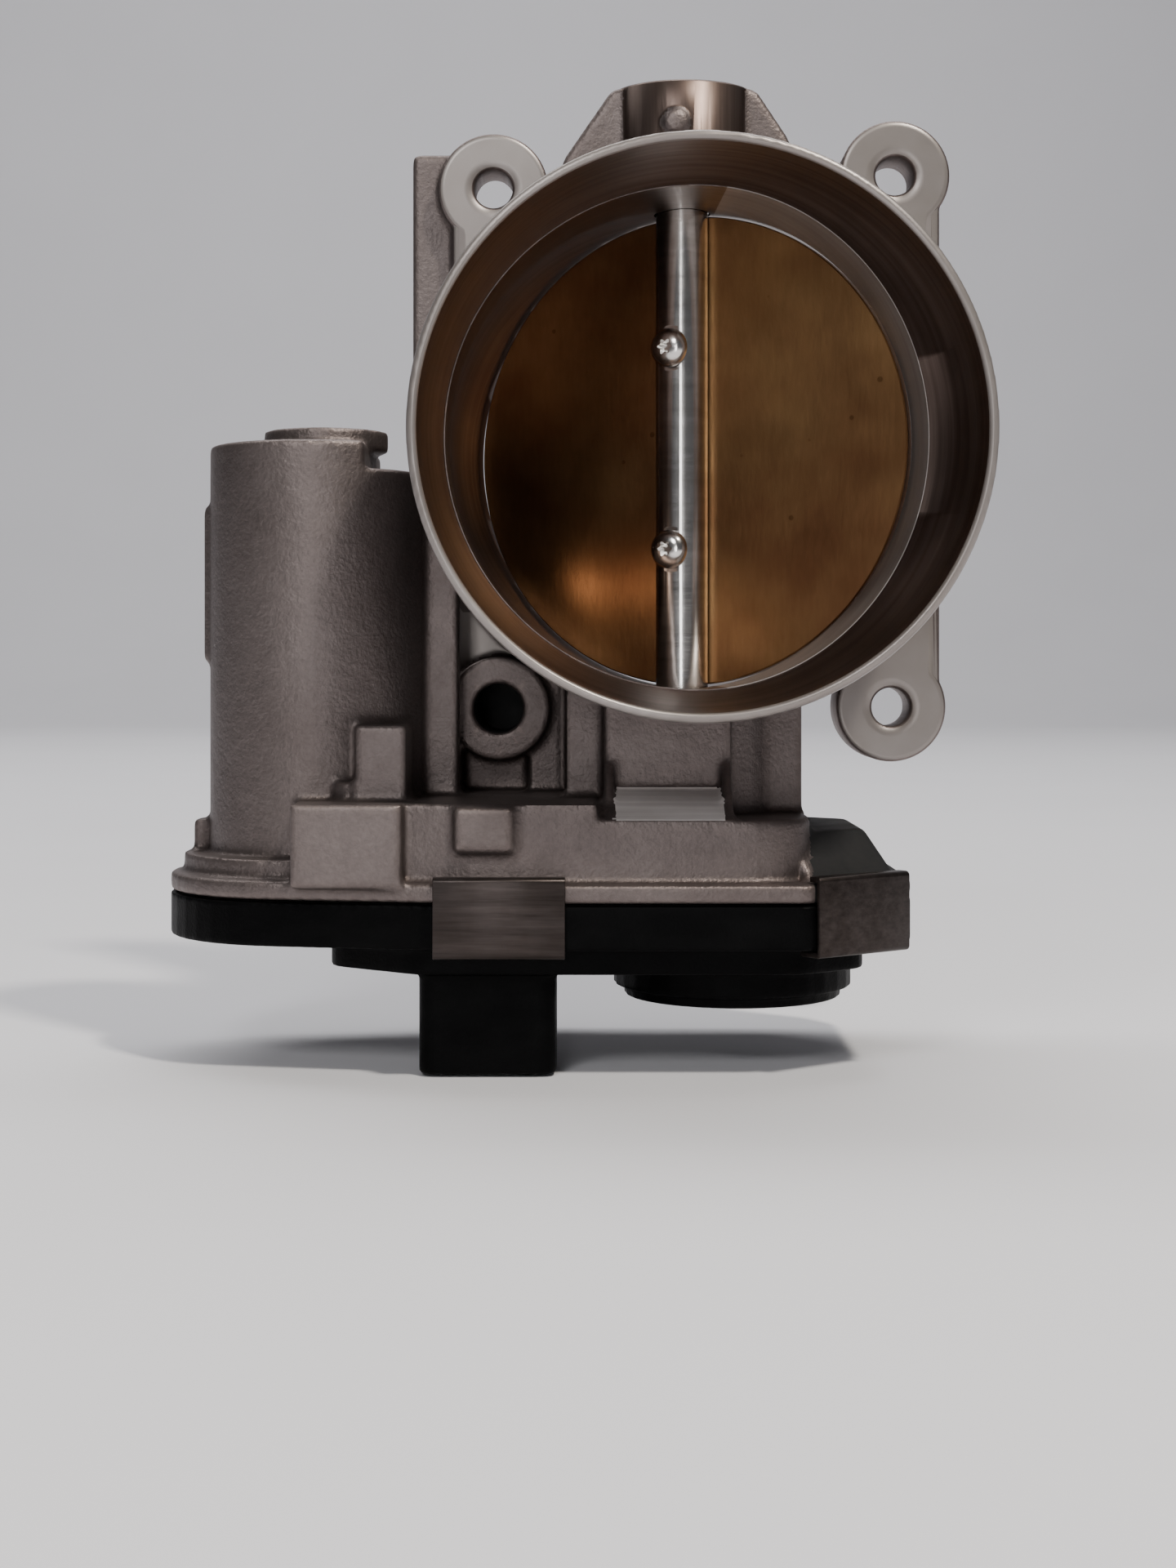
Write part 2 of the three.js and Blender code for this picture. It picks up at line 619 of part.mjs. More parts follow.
// A piece drawn square across the bore, swung about the shaft to the plate's rest angle.
function atRestTilt(body) {
  const degrees = THREE.MathUtils.radToDeg(-REST_TILT);
  return body.translate([-AXIS_X, -AXIS_Y, 0]).rotate([0, 0, degrees]).translate([AXIS_X, AXIS_Y, 0]);
}

const PLATE_FRONT_Y = AXIS_Y + PLATE_OFFSET - PLATE_THICKNESS / 2;

function throttleShaft() {
  const bar = rod(SHAFT_RADIUS, SHAFT_BOTTOM_Z, SHAFT_TOP_Z, AXIS_X, AXIS_Y, 32);
  const flat = block(
    [AXIS_X - 8, PLATE_FRONT_Y - FIT_GAP, -PLATE_RADIUS - 0.5],
    [AXIS_X + 8, AXIS_Y + 9, PLATE_RADIUS + 0.5],
  );
  const holes = [-1, 1].map((side) => crossRod(2.4, AXIS_Y - 9, AXIS_Y + 9, AXIS_X, side * SCREW_Z, 16));
  return atRestTilt(cut(bar, flat, ...holes));
}

function throttlePlate() {
  const disc = crossRod(PLATE_RADIUS, PLATE_FRONT_Y, PLATE_FRONT_Y + PLATE_THICKNESS, AXIS_X, 0, ROUND);
  const holes = [-1, 1].map((side) => crossRod(2.4, AXIS_Y - 9, AXIS_Y + 9, AXIS_X, side * SCREW_Z, 16));
  return atRestTilt(cut(disc, ...holes));
}

function plateScrew(z) {
  const headY = AXIS_Y - SHAFT_RADIUS - FIT_GAP;
  const geometry = new THREE.LatheGeometry(
    [
      [0, headY - 2.4],
      [2.2, headY - 2.2],
      [SCREW_HEAD_RADIUS - 0.4, headY - 1.2],
      [SCREW_HEAD_RADIUS, headY],
      [2, headY],
      [2, PLATE_FRONT_Y + PLATE_THICKNESS + 1],
      [0, PLATE_FRONT_Y + PLATE_THICKNESS + 1],
    ].map(([radius, y]) => new THREE.Vector2(radius, y)),
    16,
  );
  geometry.translate(AXIS_X, 0, z);
  const socket = crossRod(1.1, headY - 4, headY - 0.9, AXIS_X, z, 6);
  return atRestTilt(cut(solid(geometry), socket));
}

// A gear outline about its own centre: straight-flanked teeth, the first centred on `turn`.
function gearShape(module, teeth, turn) {
  const root = (module * teeth) / 2 - 1.2 * module;
  const tip = (module * teeth) / 2 + 0.8 * module;
  const pitch = (2 * Math.PI) / teeth;
  const corners = [];
  for (let tooth = 0; tooth < teeth; tooth += 1) {
    const centre = turn + tooth * pitch;
    corners.push([root, centre - 0.3 * pitch]);
    corners.push([tip, centre - 0.1 * pitch]);
    corners.push([tip, centre + 0.1 * pitch]);
    corners.push([root, centre + 0.3 * pitch]);
  }
  const points = corners.map(([radius, angle]) =>
    new THREE.Vector2(radius * Math.cos(angle), radius * Math.sin(angle)),
  );
  return new THREE.Shape(points);
}

const SECTOR_FIRST = THREE.MathUtils.degToRad(155);
const SECTOR_LAST = THREE.MathUtils.degToRad(257);
const HUB_RADIUS = 8.5;
const HUB_BOTTOM_Z = -88;
const HUB_TOP_Z = -60;

// Sector gear with its hub, the stop arm and the web behind the teeth.
function sectorGear() {
  const centre = [AXIS_X, AXIS_Y];
  const meshTurn = Math.PI + Math.PI / SECTOR_TEETH; // a gap faces the idler
  const teeth = gearShape(SLOW_MODULE, SECTOR_TEETH, meshTurn);
  const wheel = raised(teeth, ...SECTOR_FACES).translate([...centre, 0]);
  const wedge = new THREE.Shape();
  wedge.moveTo(0, 0);
  wedge.lineTo(40 * Math.cos(SECTOR_FIRST), 40 * Math.sin(SECTOR_FIRST));
  wedge.lineTo(-48, -20);
  wedge.lineTo(-36, -44);
  wedge.lineTo(40 * Math.cos(SECTOR_LAST), 40 * Math.sin(SECTOR_LAST));
  wedge.closePath();
  const [bottom, top] = SECTOR_FACES;
  const arm = block([0, -2.5, bottom], [16, 2.5, top]).rotate([0, 0, -60]).translate([...centre, 0]);
  const sector = wheel.intersect(raised(wedge, -90, -70).translate([...centre, 0]));
  const hub = rod(HUB_RADIUS, HUB_BOTTOM_Z, HUB_TOP_Z, ...centre, 32);
  return cut(join(sector, hub, arm), rod(SHAFT_RADIUS + FIT_GAP, -90, -50, ...centre));
}

function idlerGear() {
  const centre = [IDLER_X, AXIS_Y, 0];
  const large = raised(gearShape(FAST_MODULE, IDLER_LARGE_TEETH, Math.PI), ...IDLER_LARGE_FACES);
  const small = raised(gearShape(SLOW_MODULE, IDLER_SMALL_TEETH, 0), ...IDLER_SMALL_FACES);
  const dish = ring(12, 21, IDLER_LARGE_FACES[0] - 1, IDLER_LARGE_FACES[0] + 1.8, 0, 0, 32);
  const pinHole = rod(IDLER_PIN_RADIUS + FIT_GAP, -90, -70, IDLER_X, AXIS_Y);
  return cut(join(large, small).translate(centre), dish.translate(centre), pinHole);
}

function idlerPin() {
  return rod(IDLER_PIN_RADIUS, IDLER_PIN_BOTTOM_Z, ROOF_TOP_Z - 1.4, IDLER_X, AXIS_Y);
}

function motorPinion() {
  const gapTurn = Math.PI / PINION_TEETH; // a gap faces the idler
  const wheel = raised(gearShape(FAST_MODULE, PINION_TEETH, gapTurn), ...PINION_FACES);
  const shaftHole = rod(MOTOR_SHAFT_RADIUS + FIT_GAP, -90, -70, MOTOR_X, AXIS_Y, 16);
  return cut(wheel.translate([MOTOR_X, AXIS_Y, 0]), shaftHole);
}

// ---- Return spring -----------------------------------------------------------------------------------

function returnSpring() {
  const wire = 0.9;
  const radius = 12.2;
  const turns = 3;
  const pitch = 2.5;
  const steps = 40;
  class Helix extends THREE.Curve {
    getPoint(t) {
      const angle = t * turns * 2 * Math.PI;
      return new THREE.Vector3(
        AXIS_X + radius * Math.cos(angle),
        AXIS_Y + radius * Math.sin(angle),
        -68 + wire + t * turns * pitch,
      );
    }
  }
  const section = new THREE.Shape();
  section.absarc(0, 0, wire, 0, 2 * Math.PI, false);
  const settings = { steps, bevelEnabled: false, extrudePath: new Helix(), curveSegments: 6 };
  return solid(new THREE.ExtrudeGeometry(section, settings));
}

// ---- Motor ---------------------------------------------------------------------------------------------

function motorCan() {
  return turnedUpright(
    [
      [CAN_RADIUS - CAN_WALL, -68.3],
      [CAN_RADIUS, -68.3],
      [CAN_RADIUS, CAN_TOP_Z - 1],
      [CAN_RADIUS - 1, CAN_TOP_Z],
      [5.3, CAN_TOP_Z],
      [5.3, CAN_TOP_Z - CAN_WALL],
      [CAN_RADIUS - CAN_WALL, CAN_TOP_Z - CAN_WALL],
      [CAN_RADIUS - CAN_WALL, -68.3],
    ],
    MOTOR_X,
    AXIS_Y,
    28,
  );
}

function motorEndPlate() {
  const top = ROOF_BOTTOM_Z - FIT_GAP;
  const bottom = top - 2;
  const earRadius = 3.4;
  const screwYs = [AXIS_Y - MOTOR_SCREW_SPREAD, AXIS_Y + MOTOR_SCREW_SPREAD];
  const ears = screwYs.map((y) => rod(earRadius, bottom, top, MOTOR_SCREW_X, y, 16));
  const holes = screwYs.map((y) => rod(1.6, bottom - 1, top + 1, MOTOR_SCREW_X, y, 12));
  const arm = block([MOTOR_SCREW_X - earRadius, screwYs[0], bottom], [MOTOR_SCREW_X, screwYs[1], top]);
  const plate = rod(17.6, bottom, top, MOTOR_X, AXIS_Y, 28);
  return cut(join(plate, arm, ...ears), rod(4, bottom - 1, top + 1, MOTOR_X, AXIS_Y, 16), ...holes);
}

function motorScrew(side) {
  const y = AXIS_Y + side * MOTOR_SCREW_SPREAD;
  const head = rod(2.7, -72.6, -71.1, MOTOR_SCREW_X, y, 16);
  return join(head, rod(1.2, -72, -64.8, MOTOR_SCREW_X, y, 12));
}

// One arc magnet inside the can, on the left or right of the armature.
function motorMagnet(side) {
  const outer = CAN_RADIUS - CAN_WALL - FIT_GAP;
  const shell = ring(13.2, outer, ...MAGNET_ENDS, MOTOR_X, AXIS_Y, 28);
  const [near, far] = side < 0 ? [-40, -5] : [5, 40];
  return shell.intersect(block([MOTOR_X + near, AXIS_Y - 20, -60], [MOTOR_X + far, AXIS_Y + 20, -10]));
}

const SLOTS = 5;

// Laminated core: a hub and one T-shaped tooth for each slot.
function armatureCore() {
  const disc = rod(ARMATURE_RADIUS, ...CORE_ENDS, 0, 0, 30);
  const slots = [];
  for (let slot = 0; slot < SLOTS; slot += 1) {
    const turn = (slot * 360) / SLOTS;
    slots.push(rod(2.9, -53, -21, 8, 0, 16).rotate([0, 0, turn]));
    slots.push(block([8, -0.7, -53], [14, 0.7, -21]).rotate([0, 0, turn]));
  }
  const core = cut(disc, ...slots, rod(MOTOR_SHAFT_RADIUS + FIT_GAP, -53, -21, 0, 0, 16));
  return core.translate([MOTOR_X, AXIS_Y, 0]);
}

// Winding: a bundle in each slot joined by the end turns.
function armatureWinding() {
  const bundles = [];
  for (let slot = 0; slot < SLOTS; slot += 1) {
    bundles.push(rod(2.5, ...BUNDLE_ENDS, 8, 0, 12).rotate([0, 0, (slot * 360) / SLOTS]));
  }
  const lower = ring(3.6, 11.4, ...LOWER_TURNS_ENDS, 0, 0, 24);
  const upper = ring(3.6, 11.4, ...UPPER_TURNS_ENDS, 0, 0, 24);
  return join(lower, upper, ...bundles).translate([MOTOR_X, AXIS_Y, 0]);
}

function brushCard() {
  const card = ring(6.6, 16, ...BRUSH_CARD_ENDS, 0, 0, 24);
  const [bottom, top] = BRUSH_ENDS;
  const brushes = [-11, 5.4].map((x) => block([x, -1.6, bottom], [x + 5.6, 1.6, top]));
  return join(card, ...brushes).translate([MOTOR_X, AXIS_Y, 0]);
}

// ---- Gear cover --------------------------------------------------------------------------------------

// Outline of the pad that steps down from the cover's floor.
function stepShape(inset) {
  const corners = [
    [-67 + inset, AXIS_Y - 15 + inset],
    [-50 + inset, -63.5 + inset],
    [19 - inset, -63.5 + inset],
    [31 - inset, -54 + inset],
    [31 - inset, -18 - inset],
    [19 - inset, -8.5 - inset],
    [-50 + inset, -8.5 - inset],
    [-67 + inset, AXIS_Y + 15 - inset],
  ];
  return roundedShape(corners, 3);
}

function socketShape(inset) {
  const corners = [
    [SOCKET_LEFT_X + inset, SOCKET_FRONT_Y + inset],
    [SOCKET_RIGHT_X - inset, SOCKET_FRONT_Y + inset],
    [SOCKET_RIGHT_X - inset, SOCKET_BACK_Y - inset],
    [SOCKET_LEFT_X + inset, SOCKET_BACK_Y - inset],
  ];
  return roundedShape(corners, 3);
}

const TERMINAL_PITCH = 3.4;

function terminalX(index) {
  return (SOCKET_LEFT_X + SOCKET_RIGHT_X) / 2 + (index - (TERMINALS - 1) / 2) * TERMINAL_PITCH;
}

const TERMINAL_Y = (SOCKET_FRONT_Y + SOCKET_BACK_Y) / 2;

function gearCover() {
  const inner = CHAMBER_WALL + 0.2;
  const plan = chamberShape(0, CHAMBER_RIGHT_X);
  const outside = join(
    raised(plan, COVER_RIM_Z, COVER_TOP_Z, CHAMBER_ARC),
    raised(cornerShape(0, CHAMBER_RIGHT_X - 6), COVER_RIM_Z, COVER_TOP_Z, 3),
    raised(stepShape(0), COVER_STEP_Z, COVER_RIM_Z + 1, 3),
    rod(DOME_RADIUS, COVER_DOME_Z + 2, COVER_STEP_Z + 1, DOME_X, AXIS_Y, 32),
    rod(DOME_RADIUS - 2, COVER_DOME_Z, COVER_STEP_Z + 1, DOME_X, AXIS_Y, 32),
    raised(socketShape(0), SOCKET_END_Z, COVER_STEP_Z + 1, 4),
  );
  const keepRim = block([CHAMBER_RIGHT_X - CHAMBER_WALL, -80, -200], [60, 10, 0]);
  const hollow = join(
    raised(chamberShape(inner), COVER_RIM_Z + COVER_WALL, COVER_TOP_Z + 1, CHAMBER_ARC),
    cut(
      raised(cornerShape(COVER_WALL, 10), COVER_RIM_Z + COVER_WALL, COVER_TOP_Z + 1, 3),
      block([0, -80, -100], [CHAMBER_RIGHT_X + 1.5, 10, -50]),
    ),
    cut(raised(stepShape(COVER_WALL), COVER_STEP_Z + COVER_WALL, COVER_RIM_Z + 4, 3), keepRim),
    rod(DOME_RADIUS - 4.6, COVER_DOME_Z + COVER_WALL, COVER_STEP_Z + 5, DOME_X - 4, AXIS_Y, 32),
  );
  const socket = raised(socketShape(2), SOCKET_END_Z - 1, COVER_STEP_Z - 2.2, 4);
  const slots = [];
  for (let index = 0; index < TERMINALS; index += 1) {
    const x = terminalX(index);
    slots.push(block([x - 1.1, TERMINAL_Y - 0.7, -105], [x + 1.1, TERMINAL_Y + 0.7, -90]));
  }
  const groove = cut(
    raised(chamberShape(2.4), COVER_TOP_Z - 2, COVER_TOP_Z + 1, CHAMBER_ARC),
    raised(chamberShape(4.2), COVER_TOP_Z - 3, COVER_TOP_Z + 2, CHAMBER_ARC),
  );
  const pinBoss = cut(
    rod(5.2, COVER_STEP_Z + 1, -89, IDLER_X, AXIS_Y),
    rod(IDLER_PIN_RADIUS + FIT_GAP, IDLER_PIN_BOTTOM_Z - 0.6, -80, IDLER_X, AXIS_Y),
  );
  const posts = [-1, 1].map((side) => rod(2, COVER_DOME_Z + 1, -99, AXIS_X + 4, AXIS_Y + side * 6, 12));
  return cut(join(cut(outside, hollow), pinBoss, ...posts), socket, groove, ...slots);
}

function coverSeal() {
  return cut(
    raised(chamberShape(2.7), COVER_TOP_Z - 1.6, COVER_TOP_Z, CHAMBER_ARC),
    raised(chamberShape(3.9), COVER_TOP_Z - 2, COVER_TOP_Z + 1, CHAMBER_ARC),
  );
}

// A spring-steel clip: one leaf outside the joint with a hook above the band and one under the cover.
// It is drawn against an edge along X that faces +Y, turned about Z and moved to its place there.
function coverClip(width, turn, [x, y]) {
  const inner = FIT_GAP;
  const outer = inner + CLIP_THICKNESS;
  const top = BAND_TOP_Z + FIT_GAP;
  const bottom = COVER_RIM_Z - FIT_GAP;
  const bend = 0.6; // outer corners of the leaf
  const profile = new THREE.Shape();
  profile.moveTo(inner - CLIP_UPPER_REACH, top);
  profile.lineTo(inner, top);
  profile.lineTo(inner, bottom);
  profile.lineTo(inner - CLIP_LOWER_REACH, bottom);
  profile.lineTo(inner - CLIP_LOWER_REACH, bottom - CLIP_THICKNESS);
  profile.lineTo(outer - bend, bottom - CLIP_THICKNESS);
  profile.lineTo(outer, bottom - CLIP_THICKNESS + bend);
  profile.lineTo(outer, top + CLIP_THICKNESS - bend);
  profile.lineTo(outer - bend, top + CLIP_THICKNESS);
  profile.lineTo(inner - CLIP_UPPER_REACH, top + CLIP_THICKNESS);
  profile.closePath();
  return carriedAcross(profile, -width / 2, width / 2).rotate([0, 0, turn]).translate([x, y, 0]);
}

const FRONT_EDGE_Y = AXIS_Y - CHAMBER_HALF_WIDTH;
const BACK_EDGE_Y = AXIS_Y + CHAMBER_HALF_WIDTH;
const CORNER_MIDDLE_X = (CORNER_START_X + COVER_RIGHT_X) / 2;
const CORNER_MIDDLE_REACH = (CHAMBER_HALF_WIDTH + CORNER_HALF_LENGTH) / 2;

// ---- Small fitted parts --------------------------------------------------------------------------

// Drawn-cup bearing with its rollers, shown as one ring with a roller track.
function upperBearing() {
  const top = UPPER_BEARING_TOP_Z;
  const bottom = top - UPPER_BEARING_HEIGHT;
  const track = SHAFT_RADIUS + 0.4;
  const lip = SHAFT_RADIUS + 1.1;
  return turnedUpright(
    [
      [track, bottom + 0.8],
      [lip, bottom + 0.8],
      [lip, bottom],
      [SEAL_OUTER_RADIUS, bottom],
      [SEAL_OUTER_RADIUS, top],
      [lip, top],
      [lip, top - 0.8],
      [track, top - 0.8],
      [track, bottom + 0.8],
    ],
    AXIS_X,
    AXIS_Y,
  );
}

const BEARING_BOTTOM_Z = LOWER_BEARING_TOP_Z - LOWER_BEARING_HEIGHT;
const BALL_CIRCLE_RADIUS = 9.1;
const BALL_RADIUS = 1.6;
const BALLS = 8;

function bearingOuterRing() {
  return ring(11, LOWER_BEARING_RADIUS, BEARING_BOTTOM_Z, LOWER_BEARING_TOP_Z, AXIS_X, AXIS_Y, 32);
}

function bearingInnerRing() {
  return ring(SHAFT_RADIUS + FIT_GAP, 7.2, BEARING_BOTTOM_Z, LOWER_BEARING_TOP_Z, AXIS_X, AXIS_Y);
}

// Balls in their cage, which rolls round at less than half the shaft's speed.
function bearingBallCage() {
  const middle = (BEARING_BOTTOM_Z + LOWER_BEARING_TOP_Z) / 2;
  const cage = ring(8.3, 9.9, middle - 1.9, middle + 1.9, AXIS_X, AXIS_Y);
  const balls = [];
  for (let ball = 0; ball < BALLS; ball += 1) {
    const angle = (ball * 2 * Math.PI) / BALLS;
    const geometry = new THREE.SphereGeometry(BALL_RADIUS, 8, 4);
    geometry.translate(
      AXIS_X + BALL_CIRCLE_RADIUS * Math.cos(angle),
      AXIS_Y + BALL_CIRCLE_RADIUS * Math.sin(angle),
      middle,
    );
    balls.push(solid(geometry));
  }
  return join(cage, ...balls);
}

function shaftSeal(z0) {
  return ring(SHAFT_RADIUS + FIT_GAP, SEAL_OUTER_RADIUS, z0, z0 + SEAL_HEIGHT, AXIS_X, AXIS_Y);
}

function shaftEndPlug() {
  const underside = PLUG_SEAT_Z + 2.6;
  const top = PLUG_SEAT_Z + 4;
  return turnedUpright(
    [
      [0, underside],
      [8, underside],
      [8, PLUG_SEAT_Z + FIT_GAP],
      [9, PLUG_SEAT_Z + FIT_GAP],
      [9, top - 0.6],
      [8.4, top],
      [0, top],
    ],
    AXIS_X,
    AXIS_Y,
    24,
  );
}

function stopScrew() {
  const seat = CHAMBER_RIGHT_X + FIT_GAP;
  const bar = alongX(2, 11.4, seat + 1, STOP_SCREW_Y, STOP_SCREW_Z);
  return join(bar, alongX(3.2, seat, seat + 2, STOP_SCREW_Y, STOP_SCREW_Z));
}

function sensorBoard() {
  return block([AXIS_X - 6, AXIS_Y - 11, -98.6], [AXIS_X + 15, AXIS_Y + 11, -97.2]);
}

function sensorChip(side) {
  const x = AXIS_X + side * 2.4;
  return block([x - 1.9, AXIS_Y - 2.4, -96.9], [x + 1.9, AXIS_Y + 2.4, -95.4]);
}

function terminal(index) {
  const x = terminalX(index);
  return block([x - 0.8, TERMINAL_Y - 0.4, SOCKET_END_Z + 3], [x + 0.8, TERMINAL_Y + 0.4, -92]);
}

// ---- Materials -----------------------------------------------------------------------------------

function material(color, metalness, roughness) {
  return new THREE.MeshStandardMaterial({ color, metalness, roughness });
}

const CAST_ALUMINIUM = material(0xa39c92, 0.85, 0.5);
const POLISHED_STEEL = material(0xd8d6d2, 1, 0.18);
const BRASS = material(0xa8843c, 1, 0.32);
const BLACK_PLASTIC = material(0x14171a, 0, 0.45);
const SPRING_STEEL = material(0x84786c, 1, 0.35);
const GEAR_NYLON = material(0xe2ddcf, 0, 0.5);
const RUBBER = material(0x2a2422, 0, 0.8);
const MAGNET = material(0x3b3b40, 0.4, 0.5);
const LAMINATED_STEEL = material(0x6f7072, 0.9, 0.4);
const COPPER = material(0xb06a35, 1, 0.3);
const BOARD = material(0x2d5a3a, 0, 0.5);

// ---- Assembly --------------------------------------------------------------------------------------

const throttleBody = new THREE.Group();

function place(name, body, look) {
  const mesh = new THREE.Mesh(geometryOf(body), look);
  mesh.name = name;
  throttleBody.add(mesh);
}

place("throttle_housing", throttleHousing(), CAST_ALUMINIUM);
place("upper_needle_bearing", upperBearing(), POLISHED_STEEL);
place("upper_shaft_seal", shaftSeal(47.4), RUBBER);
place("lower_shaft_seal", shaftSeal(-50.2), RUBBER);
place("shaft_end_plug", shaftEndPlug(), POLISHED_STEEL);
place("lower_bearing_outer_ring", bearingOuterRing(), POLISHED_STEEL);
place("lower_bearing_inner_ring", bearingInnerRing(), POLISHED_STEEL);
place("lower_bearing_ball_cage", bearingBallCage(), POLISHED_STEEL);
place("throttle_shaft", throttleShaft(), POLISHED_STEEL);
place("throttle_plate", throttlePlate(), BRASS);
place("plate_screw_upper", plateScrew(SCREW_Z), POLISHED_STEEL);
place("plate_screw_lower", plateScrew(-SCREW_Z), POLISHED_STEEL);
place("sector_gear", sectorGear(), GEAR_NYLON);
place("sensor_magnet", ring(4, 7.4, -91.4, -88.3, AXIS_X, AXIS_Y), MAGNET);
place("return_spring", returnSpring(), SPRING_STEEL);
place("idler_gear", idlerGear(), GEAR_NYLON);
place("idler_pin", idlerPin(), POLISHED_STEEL);
place("closed_stop_screw", stopScrew(), POLISHED_STEEL);

place("motor_can", motorCan(), SPRING_STEEL);
place("motor_end_plate", motorEndPlate(), SPRING_STEEL);
place("motor_screw_front", motorScrew(-1), POLISHED_STEEL);
place("motor_screw_back", motorScrew(1), POLISHED_STEEL);
place("motor_magnet_left", motorMagnet(-1), MAGNET);
place("motor_magnet_right", motorMagnet(1), MAGNET);
place("motor_brush_card", brushCard(), GEAR_NYLON);
place("motor_rear_bush", ring(2.3, 5, ...REAR_BUSH_ENDS, MOTOR_X, AXIS_Y, 20), BRASS);
place("motor_wave_washer", ring(7, 14.5, ...WAVE_WASHER_ENDS, MOTOR_X, AXIS_Y, 32), SPRING_STEEL);
place("motor_shaft", rod(MOTOR_SHAFT_RADIUS, ...MOTOR_SHAFT_ENDS, MOTOR_X, AXIS_Y, 16), POLISHED_STEEL);
place("motor_armature_core", armatureCore(), LAMINATED_STEEL);
place("motor_armature_winding", armatureWinding(), COPPER);
place("motor_commutator", ring(2.3, 5, ...COMMUTATOR_ENDS, MOTOR_X, AXIS_Y), COPPER);
place("motor_pinion", motorPinion(), BRASS);

place("gear_cover", gearCover(), BLACK_PLASTIC);
place("cover_seal", coverSeal(), RUBBER);
place("cover_clip_front", coverClip(23.3, 180, [-35.25, FRONT_EDGE_Y]), SPRING_STEEL);
place("cover_clip_back", coverClip(23.3, 0, [-35.25, BACK_EDGE_Y]), SPRING_STEEL);
const frontCorner = [CORNER_MIDDLE_X, AXIS_Y - CORNER_MIDDLE_REACH];
const backCorner = [CORNER_MIDDLE_X, AXIS_Y + CORNER_MIDDLE_REACH];
const cornerTurn = THREE.MathUtils.radToDeg(CORNER_TURN);
place("cover_clip_front_right", coverClip(22, 180 + cornerTurn, frontCorner), SPRING_STEEL);
place("cover_clip_back_right", coverClip(22, -cornerTurn, backCorner), SPRING_STEEL);
place("sensor_board", sensorBoard(), BOARD);
place("sensor_chip_left", sensorChip(-1), BLACK_PLASTIC);
place("sensor_chip_right", sensorChip(1), BLACK_PLASTIC);
for (let index = 0; index < TERMINALS; index += 1) {
  place(`connector_terminal_${index + 1}`, terminal(index), COPPER);
}

export default throttleBody;
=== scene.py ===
"""Electronic throttle body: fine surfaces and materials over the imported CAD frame."""
import json
import math

import bmesh
import bpy
from mathutils import Matrix, Vector


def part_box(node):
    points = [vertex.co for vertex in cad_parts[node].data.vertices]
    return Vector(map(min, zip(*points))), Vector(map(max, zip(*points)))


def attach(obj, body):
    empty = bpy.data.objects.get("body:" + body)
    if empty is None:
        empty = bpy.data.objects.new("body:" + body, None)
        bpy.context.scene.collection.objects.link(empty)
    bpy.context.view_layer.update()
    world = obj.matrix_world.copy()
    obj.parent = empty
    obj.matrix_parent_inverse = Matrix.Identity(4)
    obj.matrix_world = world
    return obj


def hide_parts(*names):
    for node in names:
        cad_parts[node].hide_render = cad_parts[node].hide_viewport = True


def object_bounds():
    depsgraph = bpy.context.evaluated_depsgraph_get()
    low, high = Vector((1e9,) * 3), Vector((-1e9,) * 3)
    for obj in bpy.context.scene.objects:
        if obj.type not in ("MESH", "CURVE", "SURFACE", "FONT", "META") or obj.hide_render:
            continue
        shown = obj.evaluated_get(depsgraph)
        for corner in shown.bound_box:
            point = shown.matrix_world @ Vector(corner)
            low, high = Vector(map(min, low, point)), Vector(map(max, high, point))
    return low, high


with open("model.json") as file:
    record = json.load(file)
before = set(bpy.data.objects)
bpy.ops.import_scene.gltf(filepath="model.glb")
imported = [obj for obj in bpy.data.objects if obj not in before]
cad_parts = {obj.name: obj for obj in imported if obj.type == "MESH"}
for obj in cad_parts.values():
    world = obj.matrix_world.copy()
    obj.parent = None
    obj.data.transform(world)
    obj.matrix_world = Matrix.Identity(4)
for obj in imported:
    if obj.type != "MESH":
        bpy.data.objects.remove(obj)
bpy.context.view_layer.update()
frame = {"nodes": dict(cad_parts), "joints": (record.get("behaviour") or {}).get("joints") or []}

MM = 0.001
ROUND = 192  # sides of the large turned surfaces
JOINTS = {joint["name"]: joint for joint in frame["joints"]}

# ---- Places read from the frame -------------------------------------------------------------------

AXIS = Vector(JOINTS["throttle_turn"]["pos_m"])
MOTOR = Vector(JOINTS["motor_turn"]["pos_m"])
MOUTH_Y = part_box("throttle_housing")[0].y
COVER_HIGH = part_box("gear_cover")[1]

# ---- Sizes, in metres -----------------------------------------------------------------------------

BORE_RADIUS = 45.2 * MM
SPIGOT_RADIUS = 50.8 * MM
BARREL_RADIUS = 50 * MM
LIP_RADIUS = 49 * MM
LIP_END_RADIUS = 48.7 * MM
LIP_END_Y = MOUTH_Y + 12 * MM
CONE_END_RADIUS = 45.4 * MM
CONE_END_Y = MOUTH_Y + 20 * MM
RAMP_HALF_WIDTH = 39.9 * MM
RAMP_MOUTH_HALF_WIDTH = 41.7 * MM
FLANGE_FRONT_Y = -12 * MM
BOSS_RADIUS = 14 * MM
BOSS_TOP_Z = 67.4 * MM
MOTOR_HOUSING_RADIUS = 20.6 * MM
MOTOR_BORE_RADIUS = 18.2 * MM
MOTOR_TOP_Z = -4.6 * MM
CAP_RADIUS = 11.7 * MM
BOLT_RADIUS = 3.9 * MM
DEEP_HOLE_RADIUS = 4.8 * MM
OPEN_BOLTS = [(-38.4 * MM, 55 * MM), (42.4 * MM, 57.6 * MM), (41.6 * MM, -49.3 * MM)]
DEEP_BOLT = (-36.8 * MM, -49.3 * MM)
DEEP_BOSS_Y = -28 * MM
LUG_RADIUS = 11 * MM
SEAL_RADIUS = 8.3 * MM
SHAFT_RADIUS = 5 * MM
PLATE_RADIUS = 44.7 * MM
PLATE_THICKNESS = 2.4 * MM
